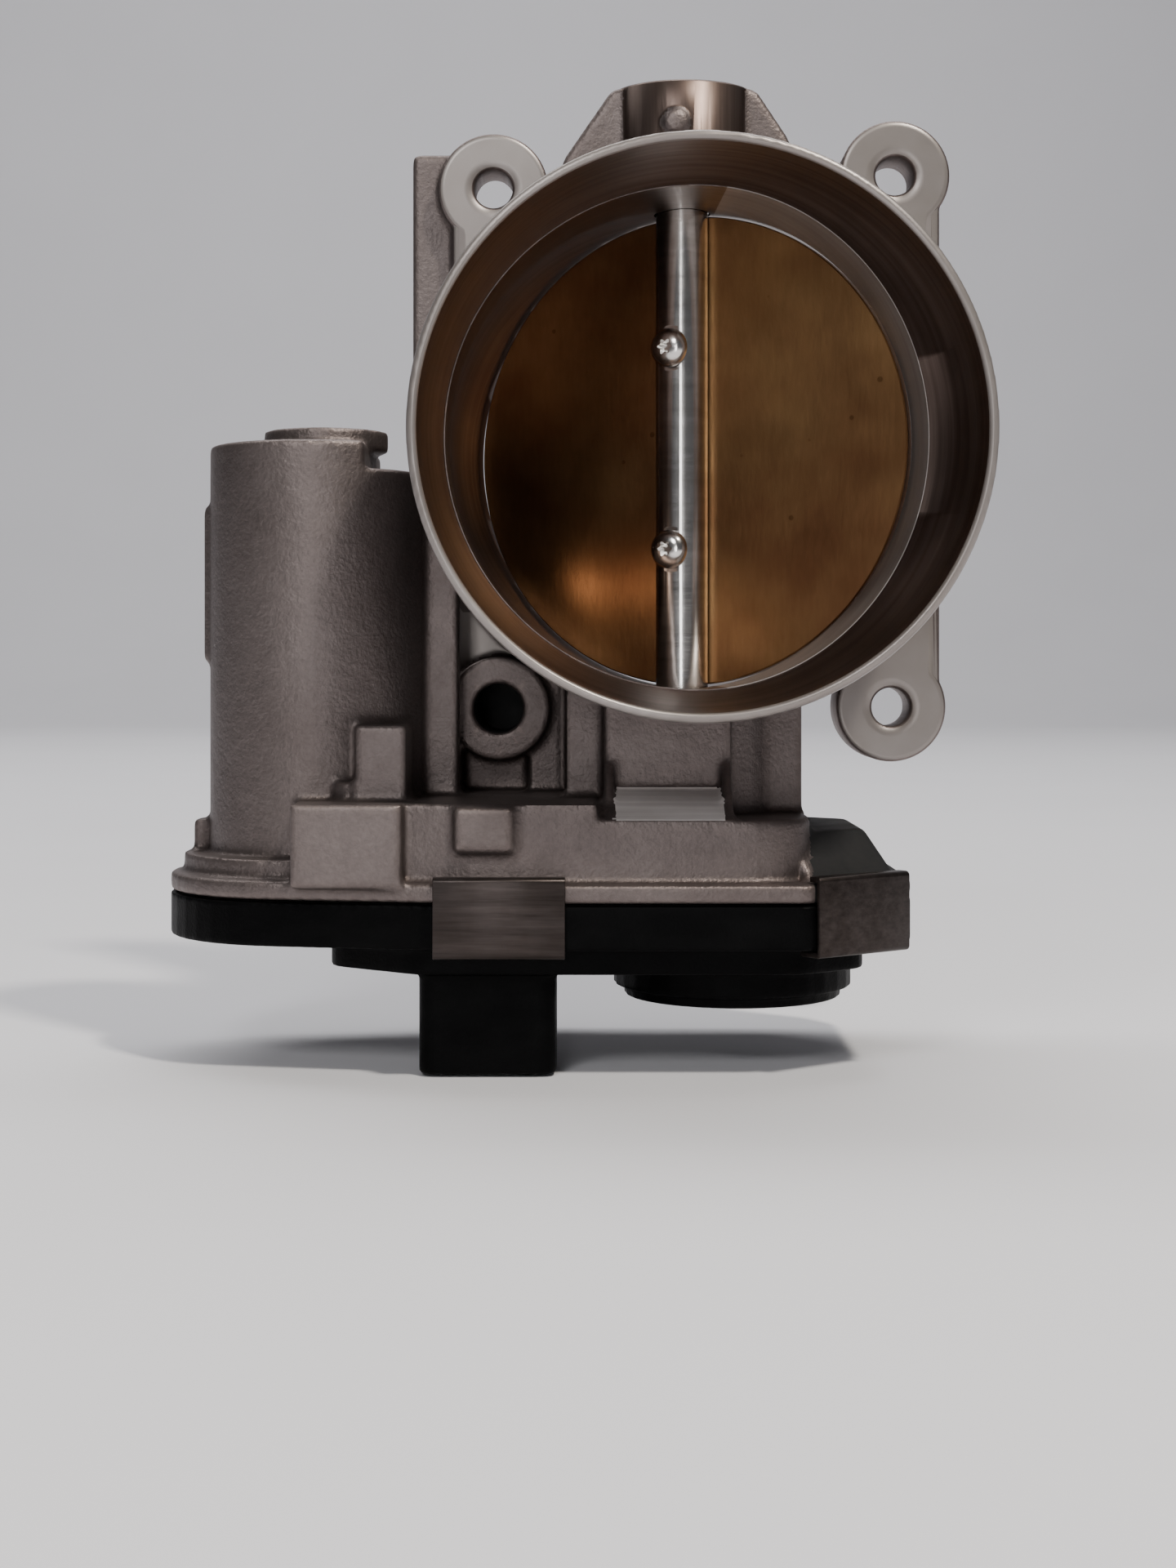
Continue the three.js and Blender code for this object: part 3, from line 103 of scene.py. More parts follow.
PLATE_OFFSET = 2.6 * MM
REST_TILT = math.radians(28)
SCREW_Z = 19 * MM
SCREW_HEAD_RADIUS = 3.7 * MM
CHAMBER_HALF_WIDTH = 33.6 * MM
CORNER_START_X = 19.3 * MM
CORNER_HALF_LENGTH = 18.5 * MM

# ---- Mesh helpers ---------------------------------------------------------------------------------


def add_object(name, mesh):
    """A new object holding the mesh."""
    piece = bpy.data.objects.new(name, mesh)
    bpy.context.scene.collection.objects.link(piece)
    return piece


def object_from(name, shape):
    """A new object from a bmesh, which is freed."""
    mesh = bpy.data.meshes.new(name)
    bmesh.ops.recalc_face_normals(shape, faces=shape.faces)
    shape.to_mesh(mesh)
    shape.free()
    return add_object(name, mesh)


def turned(name, profile, sides=ROUND, axis="Z", centre=(0, 0, 0)):
    """A closed ring or solid turned from (radius, height) points round the Z or Y axis at centre."""
    shape = bmesh.new()
    loops = []
    for radius, height in profile:
        if radius < 1e-7:
            loops.append([shape.verts.new((0, 0, height))])
            continue
        loops.append([
            shape.verts.new((
                radius * math.cos(2 * math.pi * side / sides),
                radius * math.sin(2 * math.pi * side / sides),
                height,
            ))
            for side in range(sides)
        ])
    closed = len(loops[0]) > 1 and len(loops[-1]) > 1
    pairs = list(zip(loops, loops[1:]))
    if closed:
        pairs.append((loops[-1], loops[0]))
    for lower, upper in pairs:
        for side in range(sides):
            after = (side + 1) % sides
            corners = [lower[side % len(lower)], lower[after % len(lower)]]
            corners += [upper[after % len(upper)], upper[side % len(upper)]]
            shape.faces.new(list(dict.fromkeys(corners)))
    if axis == "Y":
        shape.transform(Matrix.Rotation(math.radians(-90), 4, "X"))
    shape.transform(Matrix.Translation(centre))
    return object_from(name, shape)


def prism(name, outline, start, end, axis="Z"):
    """An outline of two-number points carried between two places along an axis.

    The outline is (x, y) along Z, (x, z) along Y and (y, z) along X.
    """
    spread = {
        "Z": lambda a, b, c: (a, b, c),
        "Y": lambda a, b, c: (a, c, b),
        "X": lambda a, b, c: (c, a, b),
    }[axis]
    shape = bmesh.new()
    rings = [[shape.verts.new(spread(a, b, place)) for a, b in outline] for place in (start, end)]
    shape.faces.new(rings[0])
    shape.faces.new(rings[1])
    for index in range(len(outline)):
        after = (index + 1) % len(outline)
        shape.faces.new((rings[0][index], rings[0][after], rings[1][after], rings[1][index]))
    return object_from(name, shape)


def block(name, low, high):
    """A rectangular cutter or rib between two corners."""
    outline = [(low[0], low[1]), (high[0], low[1]), (high[0], high[1]), (low[0], high[1])]
    return prism(name, outline, low[2], high[2])


def arc(centre, radius, first, last, steps=8):
    """Points along an arc, by angles in degrees."""
    points = []
    for step in range(steps + 1):
        angle = math.radians(first + (last - first) * step / steps)
        points.append((centre[0] + radius * math.cos(angle), centre[1] + radius * math.sin(angle)))
    return points


def settle(piece):
    """Applies the piece's modifiers to its mesh."""
    depsgraph = bpy.context.evaluated_depsgraph_get()
    evaluated = piece.evaluated_get(depsgraph)
    mesh = bpy.data.meshes.new_from_object(evaluated)
    old = piece.data
    piece.modifiers.clear()
    piece.data = mesh
    bpy.data.meshes.remove(old)
    return piece


def combine(piece, others, operation):
    """Joins or cuts a piece with throw-away solids."""
    for other in others:
        modifier = piece.modifiers.new(other.name, "BOOLEAN")
        modifier.operation = operation
        modifier.object = other
        modifier.solver = "MANIFOLD"
    settle(piece)
    for other in others:
        bpy.data.objects.remove(other)
    return piece


def cad_copy(node, name):
    """A welded copy of a CAD node's mesh, as a new piece."""
    shape = bmesh.new()
    shape.from_mesh(frame["nodes"][node].data)
    bmesh.ops.remove_doubles(shape, verts=shape.verts, dist=2e-6)
    return object_from(name, shape)


def soften(piece, voxel, passes, faces):
    """Rounds every edge as a moulded or cast surface is, by remeshing and smoothing."""
    remesh = piece.modifiers.new("remesh", "REMESH")
    remesh.mode = "VOXEL"
    remesh.voxel_size = voxel
    smooth = piece.modifiers.new("smooth", "SMOOTH")
    smooth.factor = 0.5
    smooth.iterations = passes
    settle(piece)
    thin = piece.modifiers.new("thin", "DECIMATE")
    thin.ratio = min(1, faces / max(1, 2 * len(piece.data.polygons)))
    return settle(piece)


def bevel(piece, width, segments, angle=40):
    """Rounds the edges that are sharper than the angle."""
    modifier = piece.modifiers.new("edges", "BEVEL")
    modifier.width = width
    modifier.segments = segments
    modifier.limit_method = "ANGLE"
    modifier.angle_limit = math.radians(angle)
    modifier.harden_normals = False
    return settle(piece)


def smooth_shading(piece, angle=35):
    """Smooth shading that keeps edges sharper than the angle."""
    mesh = piece.data
    mesh.shade_smooth()
    mesh.set_sharp_from_angle(angle=math.radians(angle))
    return piece


def finish_piece(piece, node, body, slot, angle):
    """Shades a piece, gives it its material and hangs it on a body in place of its CAD node."""
    smooth_shading(piece, angle)
    piece.data.materials.clear()
    piece.data.materials.append(MATERIALS[slot])
    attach(piece, body)
    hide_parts(node)
    return piece

# ---- Materials ------------------------------------------------------------------------------------


class Recipe:
    """Builds one node material with object-space noise for colour, roughness and bump."""

    def __init__(self, name, metallic, roughness, color):
        self.material = bpy.data.materials.new(name)
        self.material.use_nodes = True
        self.nodes = self.material.node_tree.nodes
        self.links = self.material.node_tree.links
        self.shader = self.nodes["Principled BSDF"]
        self.shader.inputs["Metallic"].default_value = metallic
        self.shader.inputs["Roughness"].default_value = roughness
        self.shader.inputs["Base Color"].default_value = (*color, 1)
        self.place = self.nodes.new("ShaderNodeTexCoord").outputs["Object"]
        self.height = None

    def stretched(self, scale):
        """Object coordinates stretched by a scale on each axis."""
        mapping = self.nodes.new("ShaderNodeMapping")
        mapping.inputs["Scale"].default_value = scale
        self.links.new(self.place, mapping.inputs["Vector"])
        return mapping.outputs["Vector"]

    def noise(self, size, detail=4, roughness=0.6, scale=(1, 1, 1)):
        """Noise whose lumps are about `size` metres across."""
        texture = self.nodes.new("ShaderNodeTexNoise")
        texture.inputs["Scale"].default_value = 1 / size
        texture.inputs["Detail"].default_value = detail
        texture.inputs["Roughness"].default_value = roughness
        self.links.new(self.stretched(scale), texture.inputs["Vector"])
        return texture.outputs["Fac"]

    def spots(self, size):
        """Cell noise: distance to scattered points about `size` metres apart."""
        texture = self.nodes.new("ShaderNodeTexVoronoi")
        texture.inputs["Scale"].default_value = 1 / size
        self.links.new(self.place, texture.inputs["Vector"])
        return texture.outputs["Distance"]

    def ramp(self, value, stops):
        """A value turned into colours by (position, colour) stops."""
        ramp = self.nodes.new("ShaderNodeValToRGB")
        elements = ramp.color_ramp.elements
        while len(elements) < len(stops):
            elements.new(0.5)
        for element, (position, color) in zip(elements, stops):
            element.position = position
            element.color = (*color, 1)
        self.links.new(value, ramp.inputs["Fac"])
        return ramp.outputs["Color"]

    def blend_colors(self, factor, first, second, mode="MIX"):
        """Two colours mixed or multiplied by a factor."""
        mix = self.nodes.new("ShaderNodeMix")
        mix.data_type = "RGBA"
        mix.blend_type = mode
        if isinstance(factor, (int, float)):
            mix.inputs["Factor"].default_value = factor
        else:
            self.links.new(factor, mix.inputs["Factor"])
        self.links.new(first, mix.inputs[6])
        self.links.new(second, mix.inputs[7])
        return mix.outputs[2]

    def color(self, socket):
        """Uses a socket as the base colour."""
        self.links.new(socket, self.shader.inputs["Base Color"])

    def vary_roughness(self, value, low, high):
        """Spreads a value between two roughnesses."""
        spread = self.nodes.new("ShaderNodeMapRange")
        spread.inputs["To Min"].default_value = low
        spread.inputs["To Max"].default_value = high
        self.links.new(value, spread.inputs["Value"])
        self.links.new(spread.outputs["Result"], self.shader.inputs["Roughness"])

    def bump(self, value, height, strength=1.0):
        """Stacks a bump layer whose full swing is `height` metres."""
        bump = self.nodes.new("ShaderNodeBump")
        bump.inputs["Strength"].default_value = strength
        bump.inputs["Distance"].default_value = height
        self.links.new(value, bump.inputs["Height"])
        if self.height is not None:
            self.links.new(self.height, bump.inputs["Normal"])
        self.height = bump.outputs["Normal"]
        self.links.new(self.height, self.shader.inputs["Normal"])


def cast_aluminium():
    """Sand-grained die casting in warm grey, with painted shade darkening its hollows and brighter rubbed
    edges.
    """
    recipe = Recipe("cast_aluminium", 0.85, 0.46, (0.17, 0.14, 0.135))
    clouds = recipe.ramp(recipe.noise(0.03), [(0.3, (0.135, 0.11, 0.105)), (0.7, (0.19, 0.16, 0.153))])
    grain = recipe.ramp(recipe.noise(0.0009, 2), [(0.3, (0.72, 0.72, 0.72)), (0.7, (1, 1, 1))])
    # Pointiness darkens the hollows as painted shade and lightens the edges as rubbed wear.
    hollow_shade_and_edge_wear = recipe.nodes.new("ShaderNodeNewGeometry").outputs["Pointiness"]
    edges = recipe.ramp(hollow_shade_and_edge_wear, [(0.44, (0.42, 0.37, 0.34)), (0.5, (1, 1, 1)), (0.56, (1.3, 1.27, 1.24))])
    grained = recipe.blend_colors(0.55, clouds, grain, "MULTIPLY")
    recipe.color(recipe.blend_colors(0.7, grained, edges, "MULTIPLY"))
    recipe.vary_roughness(recipe.noise(0.006), 0.4, 0.58)
    recipe.bump(recipe.noise(0.004, 3), 0.00022)
    recipe.bump(recipe.noise(0.0007, 2), 0.00011)
    return recipe.material


def turned_aluminium(name, metallic, dark, light):
    """Cut aluminium with fine tool rings across the bore axis, between two tones."""
    recipe = Recipe(name, metallic, 0.38, light)
    rings = recipe.noise(0.0012, 3, scale=(0.02, 1, 0.02))
    stain = recipe.ramp(recipe.noise(0.02), [(0.35, (0.8, 0.78, 0.74)), (0.65, (1, 1, 1))])
    tone = recipe.ramp(rings, [(0.3, dark), (0.7, light)])
    recipe.color(recipe.blend_colors(0.6, tone, stain, "MULTIPLY"))
    recipe.vary_roughness(recipe.noise(0.008), 0.32, 0.44)
    recipe.bump(rings, 0.00003)
    return recipe.material


def plate_brass():
    """Dark gold plate with a browner wash, turning marks and a few tarnish specks."""
    recipe = Recipe("plate_brass", 1.0, 0.34, (0.26, 0.12, 0.055))
    wash = recipe.ramp(recipe.noise(0.035, 3), [(0.3, (0.26, 0.12, 0.055)), (0.7, (0.48, 0.275, 0.12))])
    turning = recipe.noise(0.0012, 3, scale=(1, 1, 0.25))
    fine = recipe.ramp(turning, [(0.3, (0.8, 0.8, 0.8)), (0.7, (1, 1, 1))])
    spotted = [(0.0, (0.25, 0.2, 0.14)), (0.05, (0.3, 0.25, 0.2)), (0.07, (1, 1, 1))]
    specks = recipe.ramp(recipe.spots(0.009), spotted)
    toned = recipe.blend_colors(0.6, wash, fine, "MULTIPLY")
    recipe.color(recipe.blend_colors(0.5, toned, specks, "MULTIPLY"))
    recipe.vary_roughness(recipe.noise(0.012), 0.26, 0.38)
    recipe.bump(recipe.noise(0.0009, 2, scale=(1, 1, 0.3)), 0.00003)
    return recipe.material


def polished_steel():
    """Ground steel with faint marks running round the upright axis."""
    recipe = Recipe("polished_steel", 1.0, 0.2, (0.72, 0.7, 0.67))
    marks = recipe.noise(0.0016, 4, scale=(0.15, 0.15, 1))
    recipe.color(recipe.ramp(marks, [(0.3, (0.6, 0.58, 0.55)), (0.7, (0.8, 0.78, 0.76))]))
    recipe.vary_roughness(recipe.noise(0.004), 0.14, 0.28)
    recipe.bump(marks, 0.00002)
    return recipe.material


def spring_steel():
    """Rolled strip, warm grey, brushed along its length and a little stained."""
    recipe = Recipe("spring_steel", 0.9, 0.42, (0.11, 0.09, 0.085))
    brushed = recipe.noise(0.0011, 4, scale=(0.06, 1, 1))
    tone = recipe.ramp(brushed, [(0.3, (0.035, 0.028, 0.026)), (0.7, (0.065, 0.053, 0.05))])
    stain = recipe.ramp(recipe.noise(0.008), [(0.35, (0.75, 0.72, 0.68)), (0.6, (1, 1, 1))])
    recipe.color(recipe.blend_colors(0.6, tone, stain, "MULTIPLY"))
    recipe.vary_roughness(recipe.noise(0.003), 0.3, 0.46)
    recipe.bump(brushed, 0.00003)
    return recipe.material


def black_plastic():
    """Glass-filled black moulding with a fine spark-eroded texture and faint flow marks."""
    recipe = Recipe("black_plastic", 0.0, 0.5, (0.002, 0.002, 0.0022))
    recipe.shader.inputs["Specular IOR Level"].default_value = 0.05
    flow = recipe.noise(0.012, 3, scale=(1, 1, 2))
    recipe.color(recipe.ramp(flow, [(0.3, (0.0012, 0.0012, 0.0014)), (0.7, (0.003, 0.003, 0.0032))]))
    recipe.vary_roughness(recipe.noise(0.005), 0.36, 0.54)
    recipe.bump(recipe.noise(0.0006, 3), 0.00008)
    return recipe.material


def plain_recipe(name, metallic, dark, light, grain, roughness, bump):
    """A grained material between two colours, for the smaller pieces."""
    recipe = Recipe(name, metallic, roughness, light)
    speckle = recipe.noise(grain, 4)
    recipe.color(recipe.ramp(speckle, [(0.3, dark), (0.7, light)]))
    recipe.vary_roughness(recipe.noise(grain * 3), roughness * 0.8, min(1, roughness * 1.25))
    recipe.bump(speckle, bump)
    return recipe.material


MATERIALS = {
    "cast_aluminium": cast_aluminium(),
    # A darker copy of cut aluminium: painted shade for the airway and the shaft boss's side.
    "bore_painted_shade": turned_aluminium(
        "bore_painted_shade", 1, (0.1, 0.072, 0.062), (0.17, 0.128, 0.112)),
    "milled_aluminium": turned_aluminium(
        "milled_aluminium", 0.6, (0.25, 0.222, 0.212), (0.36, 0.33, 0.315)),
    # A lighter copy of cut aluminium: a painted highlight for the sloping ledge.
    "ledge_painted_highlight": turned_aluminium(
        "ledge_painted_highlight", 0.5, (0.78, 0.73, 0.72), (0.96, 0.92, 0.9)),
    "plate_brass": plate_brass(),
    "polished_steel": polished_steel(),
    "spring_steel": spring_steel(),
    "black_plastic": black_plastic(),
    "gear_nylon": plain_recipe(
        "gear_nylon", 0, (0.62, 0.58, 0.48), (0.74, 0.7, 0.61), 0.004, 0.42, 0.00002),
    # Near-black painted shade for the corner lug and the deep bolt hole.
    "lug_and_hole_painted_shade": plain_recipe(
        "lug_and_hole_painted_shade", 0, (0.002, 0.002, 0.002), (0.006, 0.005, 0.005), 0.002, 0.7, 0.00002),
    "rubber": plain_recipe(
        "rubber", 0, (0.012, 0.011, 0.01), (0.035, 0.032, 0.03), 0.0015, 0.75, 0.00004),
    "magnet": plain_recipe(
        "magnet", 0.3, (0.035, 0.035, 0.04), (0.08, 0.08, 0.085), 0.001, 0.55, 0.00003),
    "laminated_steel": plain_recipe(
        "laminated_steel", 0.9, (0.2, 0.2, 0.205), (0.36, 0.36, 0.37), 0.0008, 0.42, 0.00003),
    "copper": plain_recipe(
        "copper", 1, (0.44, 0.2, 0.09), (0.66, 0.33, 0.17), 0.001, 0.32, 0.00003),
    "circuit_board": plain_recipe(
        "circuit_board", 0, (0.015, 0.09, 0.035), (0.03, 0.16, 0.07), 0.002, 0.35, 0.00002),
}

# ---- Housing --------------------------------------------------------------------------------------


def passage(name, start_y, end_y, narrowing):
    """A length of airway narrowed sideways, by half-widths at its two ends for each side."""
    tube = turned(name, [(0, start_y), (BORE_RADIUS, start_y), (BORE_RADIUS, end_y), (0, end_y)], axis="Y")
    middle = (start_y + end_y) / 2
    for vertex in tube.data.vertices:
        side = "right" if vertex.co.x > 0 else "left"
        half_width = narrowing[side][0 if vertex.co.y < middle else 1]
        vertex.co.x *= half_width / BORE_RADIUS
    return tube


def inlet_cone():
    """The rounded lip and the cone behind it, drawn in on the right to meet the ramp there."""
    lip = 0.8 * MM
    profile = [
        (0, MOUTH_Y - 5 * MM),
        (LIP_RADIUS + lip, MOUTH_Y - 5 * MM),
        (LIP_RADIUS + lip, MOUTH_Y - 0.01 * MM),
    ]
    profile += [
        (LIP_RADIUS + lip - lip * math.sin(turn), MOUTH_Y + lip - lip * math.cos(turn))
        for turn in (math.radians(15 * step) for step in range(1, 7))
    ]
    profile += [
        (LIP_END_RADIUS, LIP_END_Y),
        (CONE_END_RADIUS, CONE_END_Y),
        (0, CONE_END_Y),
    ]
    cone = turned("inlet_cone", profile, axis="Y")
    for vertex in cone.data.vertices:
        if vertex.co.x > 0 and vertex.co.y > CONE_END_Y - 0.1 * MM:
            vertex.co.x *= RAMP_MOUTH_HALF_WIDTH / CONE_END_RADIUS
    return cone


def airway():
    """The cutter for the inlet, the ramps beside the plate's edges and the ball-shaped seat."""
    ball = [
        (BORE_RADIUS * math.sin(turn), -BORE_RADIUS * math.cos(turn))
        for turn in (math.pi * step / 72 for step in range(73))
    ]
    seat = turned("seat", ball, axis="Y", centre=(AXIS.x, AXIS.y, 0))
    upstream = passage("upstream", CONE_END_Y - 0.5 * MM, AXIS.y, {
        "right": (RAMP_MOUTH_HALF_WIDTH, RAMP_HALF_WIDTH - 6 * MM),
        "left": (BORE_RADIUS, BORE_RADIUS),
    })
    downstream = passage("downstream", AXIS.y, -14 * MM, {
        "right": (BORE_RADIUS, BORE_RADIUS),
        "left": (RAMP_HALF_WIDTH - 3 * MM, RAMP_HALF_WIDTH),
    })
    outlet = passage("outlet", -14.5 * MM, 5 * MM, {
        "right": (BORE_RADIUS, BORE_RADIUS),
        "left": (RAMP_HALF_WIDTH, BORE_RADIUS),
    })
    return combine(inlet_cone(), [seat, upstream, downstream, outlet], "UNION")


def barrel_skin():
    """True round outside of the spigot and barrel, filled in so that the airway is cut afresh."""
    lip = 0.6 * MM
    front = [
        (SPIGOT_RADIUS - lip + lip * math.sin(turn), MOUTH_Y + lip - lip * math.cos(turn))
        for turn in (math.radians(15 * step) for step in range(7))
    ]
    back = [
        (SPIGOT_RADIUS, MOUTH_Y + 6.5 * MM),
        (SPIGOT_RADIUS - 0.5 * MM, MOUTH_Y + 8 * MM),
        (BARREL_RADIUS - 0.6 * MM, MOUTH_Y + 9.2 * MM),
        (BARREL_RADIUS, AXIS.y),
        (BARREL_RADIUS + 1 * MM, FLANGE_FRONT_Y),
        (BARREL_RADIUS + 1 * MM, -1 * MM),
        (0, -1 * MM),
    ]
    return turned("barrel_skin", [(0, MOUTH_Y)] + front + back, axis="Y")


def upright_sleeve(name, x, y, inner, outer, low, high, sides=96):
    """An upright tube between two heights."""
    profile = [(inner, low), (outer, low), (outer, high), (inner, high)]
    return turned(name, profile, sides=sides, centre=(x, y, 0))


def tie_ribs():
    """Two small ribs tying the motor housing to the barrel."""
    parts = []
    for height in (-16 * MM, -26 * MM):
        low = (MOTOR.x + 12 * MM, AXIS.y - 2 * MM, height - 1.2 * MM)
        high = (-44.4 * MM, AXIS.y + 10 * MM, height + 1.2 * MM)
        parts.append(block("tie_rib", low, high))
    return parts


def throttle_housing():
    """The casting, with round skins over the faceted frame, cast fillets, and crisp machined cuts."""
    casting = cad_copy("throttle_housing", "housing_casting")
    skins = [
        barrel_skin(),
        upright_sleeve("motor_skin", MOTOR.x, MOTOR.y, MOTOR_BORE_RADIUS + 0.4 * MM, MOTOR_HOUSING_RADIUS,
                       -78 * MM, MOTOR_TOP_Z, 128),
        upright_sleeve("cap_skin", MOTOR.x + 1.3 * MM, MOTOR.y, 4 * MM, CAP_RADIUS, -0.5 * MM, 3.4 * MM),
    ]
    combine(casting, skins + tie_ribs(), "UNION")
    soften(casting, 0.65 * MM, 5, 170_000)
    combine(casting, machined_bosses(), "UNION")
    cutters = [airway()]
    cutters += [shaft_bore(side) for side in (-1, 1)]
    for x, z in OPEN_BOLTS:
        cutters.append(hole("bolt_hole", x, z, BOLT_RADIUS, FLANGE_FRONT_Y, 2 * MM))
    cutters.append(hole("deep_hole", *DEEP_BOLT, DEEP_HOLE_RADIUS, DEEP_BOSS_Y, -2 * MM))
    combine(casting, cutters, "DIFFERENCE")
    finish_piece(casting, "throttle_housing", "housing", "cast_aluminium", 50)
    # Faces get milled finishes, a painted highlight on the ledge and painted shade in the airway, on the
    # shaft boss, the corner lug and the deep hole.
    for slot in HOUSING_SLOTS[1:]:
        casting.data.materials.append(MATERIALS[slot])
    for face in casting.data.polygons:
        face.material_index = HOUSING_SLOTS.index(finish_or_painted_light_of(face))
    return casting


def machined_bosses():
    """Crisp round bosses added over the softened casting: bolt lugs, deep boss and shaft boss."""
    edge = 0.4 * MM
    seats = [(x, z, FLANGE_FRONT_Y, LUG_RADIUS) for x, z in OPEN_BOLTS]
    seats.append((*DEEP_BOLT, DEEP_BOSS_Y, LUG_RADIUS - 1 * MM))
    bosses = []
    for x, z, front_y, radius in seats:
        profile = [
            (3 * MM, front_y),
            (6 * MM, front_y),
            (radius - 1.2 * MM, front_y),
            (radius - edge, front_y),
            (radius, front_y + edge),
            (radius, -0.6 * MM),
            (3 * MM, -0.6 * MM),
        ]
        bosses.append(turned("bolt_boss", profile, sides=72, axis="Y", centre=(x, 0, z)))
    profile = [
        (10.5 * MM, 49 * MM),
        (BOSS_RADIUS, 49 * MM),
        (BOSS_RADIUS, BOSS_TOP_Z - edge),
        (BOSS_RADIUS - edge, BOSS_TOP_Z),
        (10.5 * MM, BOSS_TOP_Z),
    ]
    bosses.append(turned("shaft_boss", profile, sides=96, centre=(AXIS.x, AXIS.y, 0)))
    return bosses


def shaft_bore(side):
    """The shaft's way through the bore wall above or below, with the seal's seat outside it."""
    bore = SHAFT_RADIUS + 0.4 * MM
    profile = [
        (0, 40 * MM),
        (bore, 40 * MM),
        (bore, 47 * MM),
        (SEAL_RADIUS, 47 * MM),
        (SEAL_RADIUS, 52 * MM),
        (0, 52 * MM),
    ]
    handed = [(radius, side * height) for radius, height in profile]
    return turned("shaft_bore", handed, sides=96, centre=(AXIS.x, AXIS.y, 0))


def hole(name, x, z, radius, front_y, back_y):
    """A hole cutter with a small chamfer at its front."""
    chamfer = 0.5 * MM
    profile = [
        (0, front_y - 3 * MM),
        (radius + 3 * MM, front_y - 3 * MM),
        (radius + chamfer, front_y - 0.05 * MM),
        (radius, front_y + chamfer),
        (radius, back_y),
        (0, back_y),
    ]
    return turned(name, profile, sides=64, axis="Y", centre=(x, 0, z))


# The casting's materials: as cast, milled, and copies painted with shade or highlight.
HOUSING_SLOTS = [
    "cast_aluminium", "bore_painted_shade", "milled_aluminium", "ledge_painted_highlight", "lug_and_hole_painted_shade",
]
# Boxes that pick out the ledge painted as a highlight and the corner lug painted as shade.
LEDGE_LOW = Vector((-14.9, -67, -68.4)) * MM
LEDGE_HIGH = Vector((5, -53.5, -62)) * MM
CORNER_LUG_LOW_Z = -90 * MM
CORNER_LUG_HIGH_Z = -68.5 * MM


def within(spot, low, high):
    """True for a point inside the box between two corners."""
    return all(least < value < most for least, value, most in zip(low, spot, high))


def finish_or_painted_light_of(face):
    """The look of a face of the casting: as cast, milled, a painted highlight on the ledge, or painted
    shade in the airway, on the shaft boss, the corner lug and the deep hole.
    """
    spot = face.center
    normal = face.normal
    from_bore = math.hypot(spot.x, spot.z)
    manifold_face = spot.y > -0.25 * MM and normal.y > 0.9
    across_rim = LIP_RADIUS - 0.4 * MM < from_bore < SPIGOT_RADIUS + 0.2 * MM
    rim = across_rim and spot.y < MOUTH_Y + 1 * MM
    on_flange_front = abs(spot.y - FLANGE_FRONT_Y) < 0.3 * MM and normal.y < -0.9
    if manifold_face or rim or (on_flange_front and abs(spot.z) > 30 * MM):
        return "milled_aluminium"
    # The sloping ledge is painted lighter as a highlight.
    if within(spot, LEDGE_LOW, LEDGE_HIGH) and normal.z > 0.6:
        return "ledge_painted_highlight"
    before_shaft = CONE_END_Y - 0.2 * MM < spot.y < AXIS.y
    if spot.x > 5 * MM and before_shaft and from_bore < CONE_END_RADIUS:
        return "milled_aluminium"
    from_axis = math.hypot(spot.x - AXIS.x, spot.y - AXIS.y)
    # The shaft boss's side is painted darker as shade.
    if spot.z > 52 * MM and BOSS_RADIUS - 0.3 * MM < from_axis < BOSS_RADIUS + 0.1 * MM:
        return "bore_painted_shade"
    # The corner lug is painted near-black as shade.
    beside_corner = spot.x > CORNER_START_X + 1.2 * MM
    if beside_corner and CORNER_LUG_LOW_Z < spot.z < CORNER_LUG_HIGH_Z:
        return "lug_and_hole_painted_shade"
    # The deep bolt hole is painted near-black as shade.
    from_deep_hole = math.hypot(spot.x - DEEP_BOLT[0], spot.z - DEEP_BOLT[1])
    if from_deep_hole < DEEP_HOLE_RADIUS + 0.1 * MM:
        return "lug_and_hole_painted_shade"
    # The airway's inner faces are painted darker as shade.
    inward = normal.x * spot.x + normal.z * spot.z < 0
    if from_bore < LIP_RADIUS + 0.6 * MM and inward and abs(spot.z) < 49 * MM:
        return "bore_painted_shade"
    return "cast_aluminium"


# ---- Throttle shaft group -------------------------------------------------------------------------


def at_rest_tilt(piece):
    """Swings a piece drawn square across the bore to the plate's rest angle."""
    swing = Matrix.Translation(AXIS) @ Matrix.Rotation(-REST_TILT, 4, "Z") @ Matrix.Translation(-AXIS)
    piece.data.transform(swing)
    return piece


PLATE_FRONT_Y = AXIS.y + PLATE_OFFSET - PLATE_THICKNESS / 2


def throttle_plate():
    """The butterfly disc, with chamfered edges and holes for its two screws."""
    edge = 0.25 * MM
    back_y = PLATE_FRONT_Y + PLATE_THICKNESS
    profile = [
        (0, PLATE_FRONT_Y),
        (PLATE_RADIUS - edge, PLATE_FRONT_Y),
        (PLATE_RADIUS, PLATE_FRONT_Y + edge),
        (PLATE_RADIUS, back_y - edge),
        (PLATE_RADIUS - edge, back_y),
        (0, back_y),
    ]
    plate = turned("butterfly_plate", profile, axis="Y", centre=(AXIS.x, 0, 0))
    holes = [screw_hole(side * SCREW_Z) for side in (-1, 1)]
    combine(plate, holes, "DIFFERENCE")
    at_rest_tilt(plate)
    return finish_piece(plate, "throttle_plate", "throttle", "plate_brass", 30)


def screw_hole(z):
    """The clearance hole of a plate screw through shaft and plate."""
    profile = [(0, -10 * MM), (2.4 * MM, -10 * MM), (2.4 * MM, 10 * MM), (0, 10 * MM)]
    return turned("screw_hole", profile, sides=32, axis="Y", centre=(AXIS.x, AXIS.y, z))


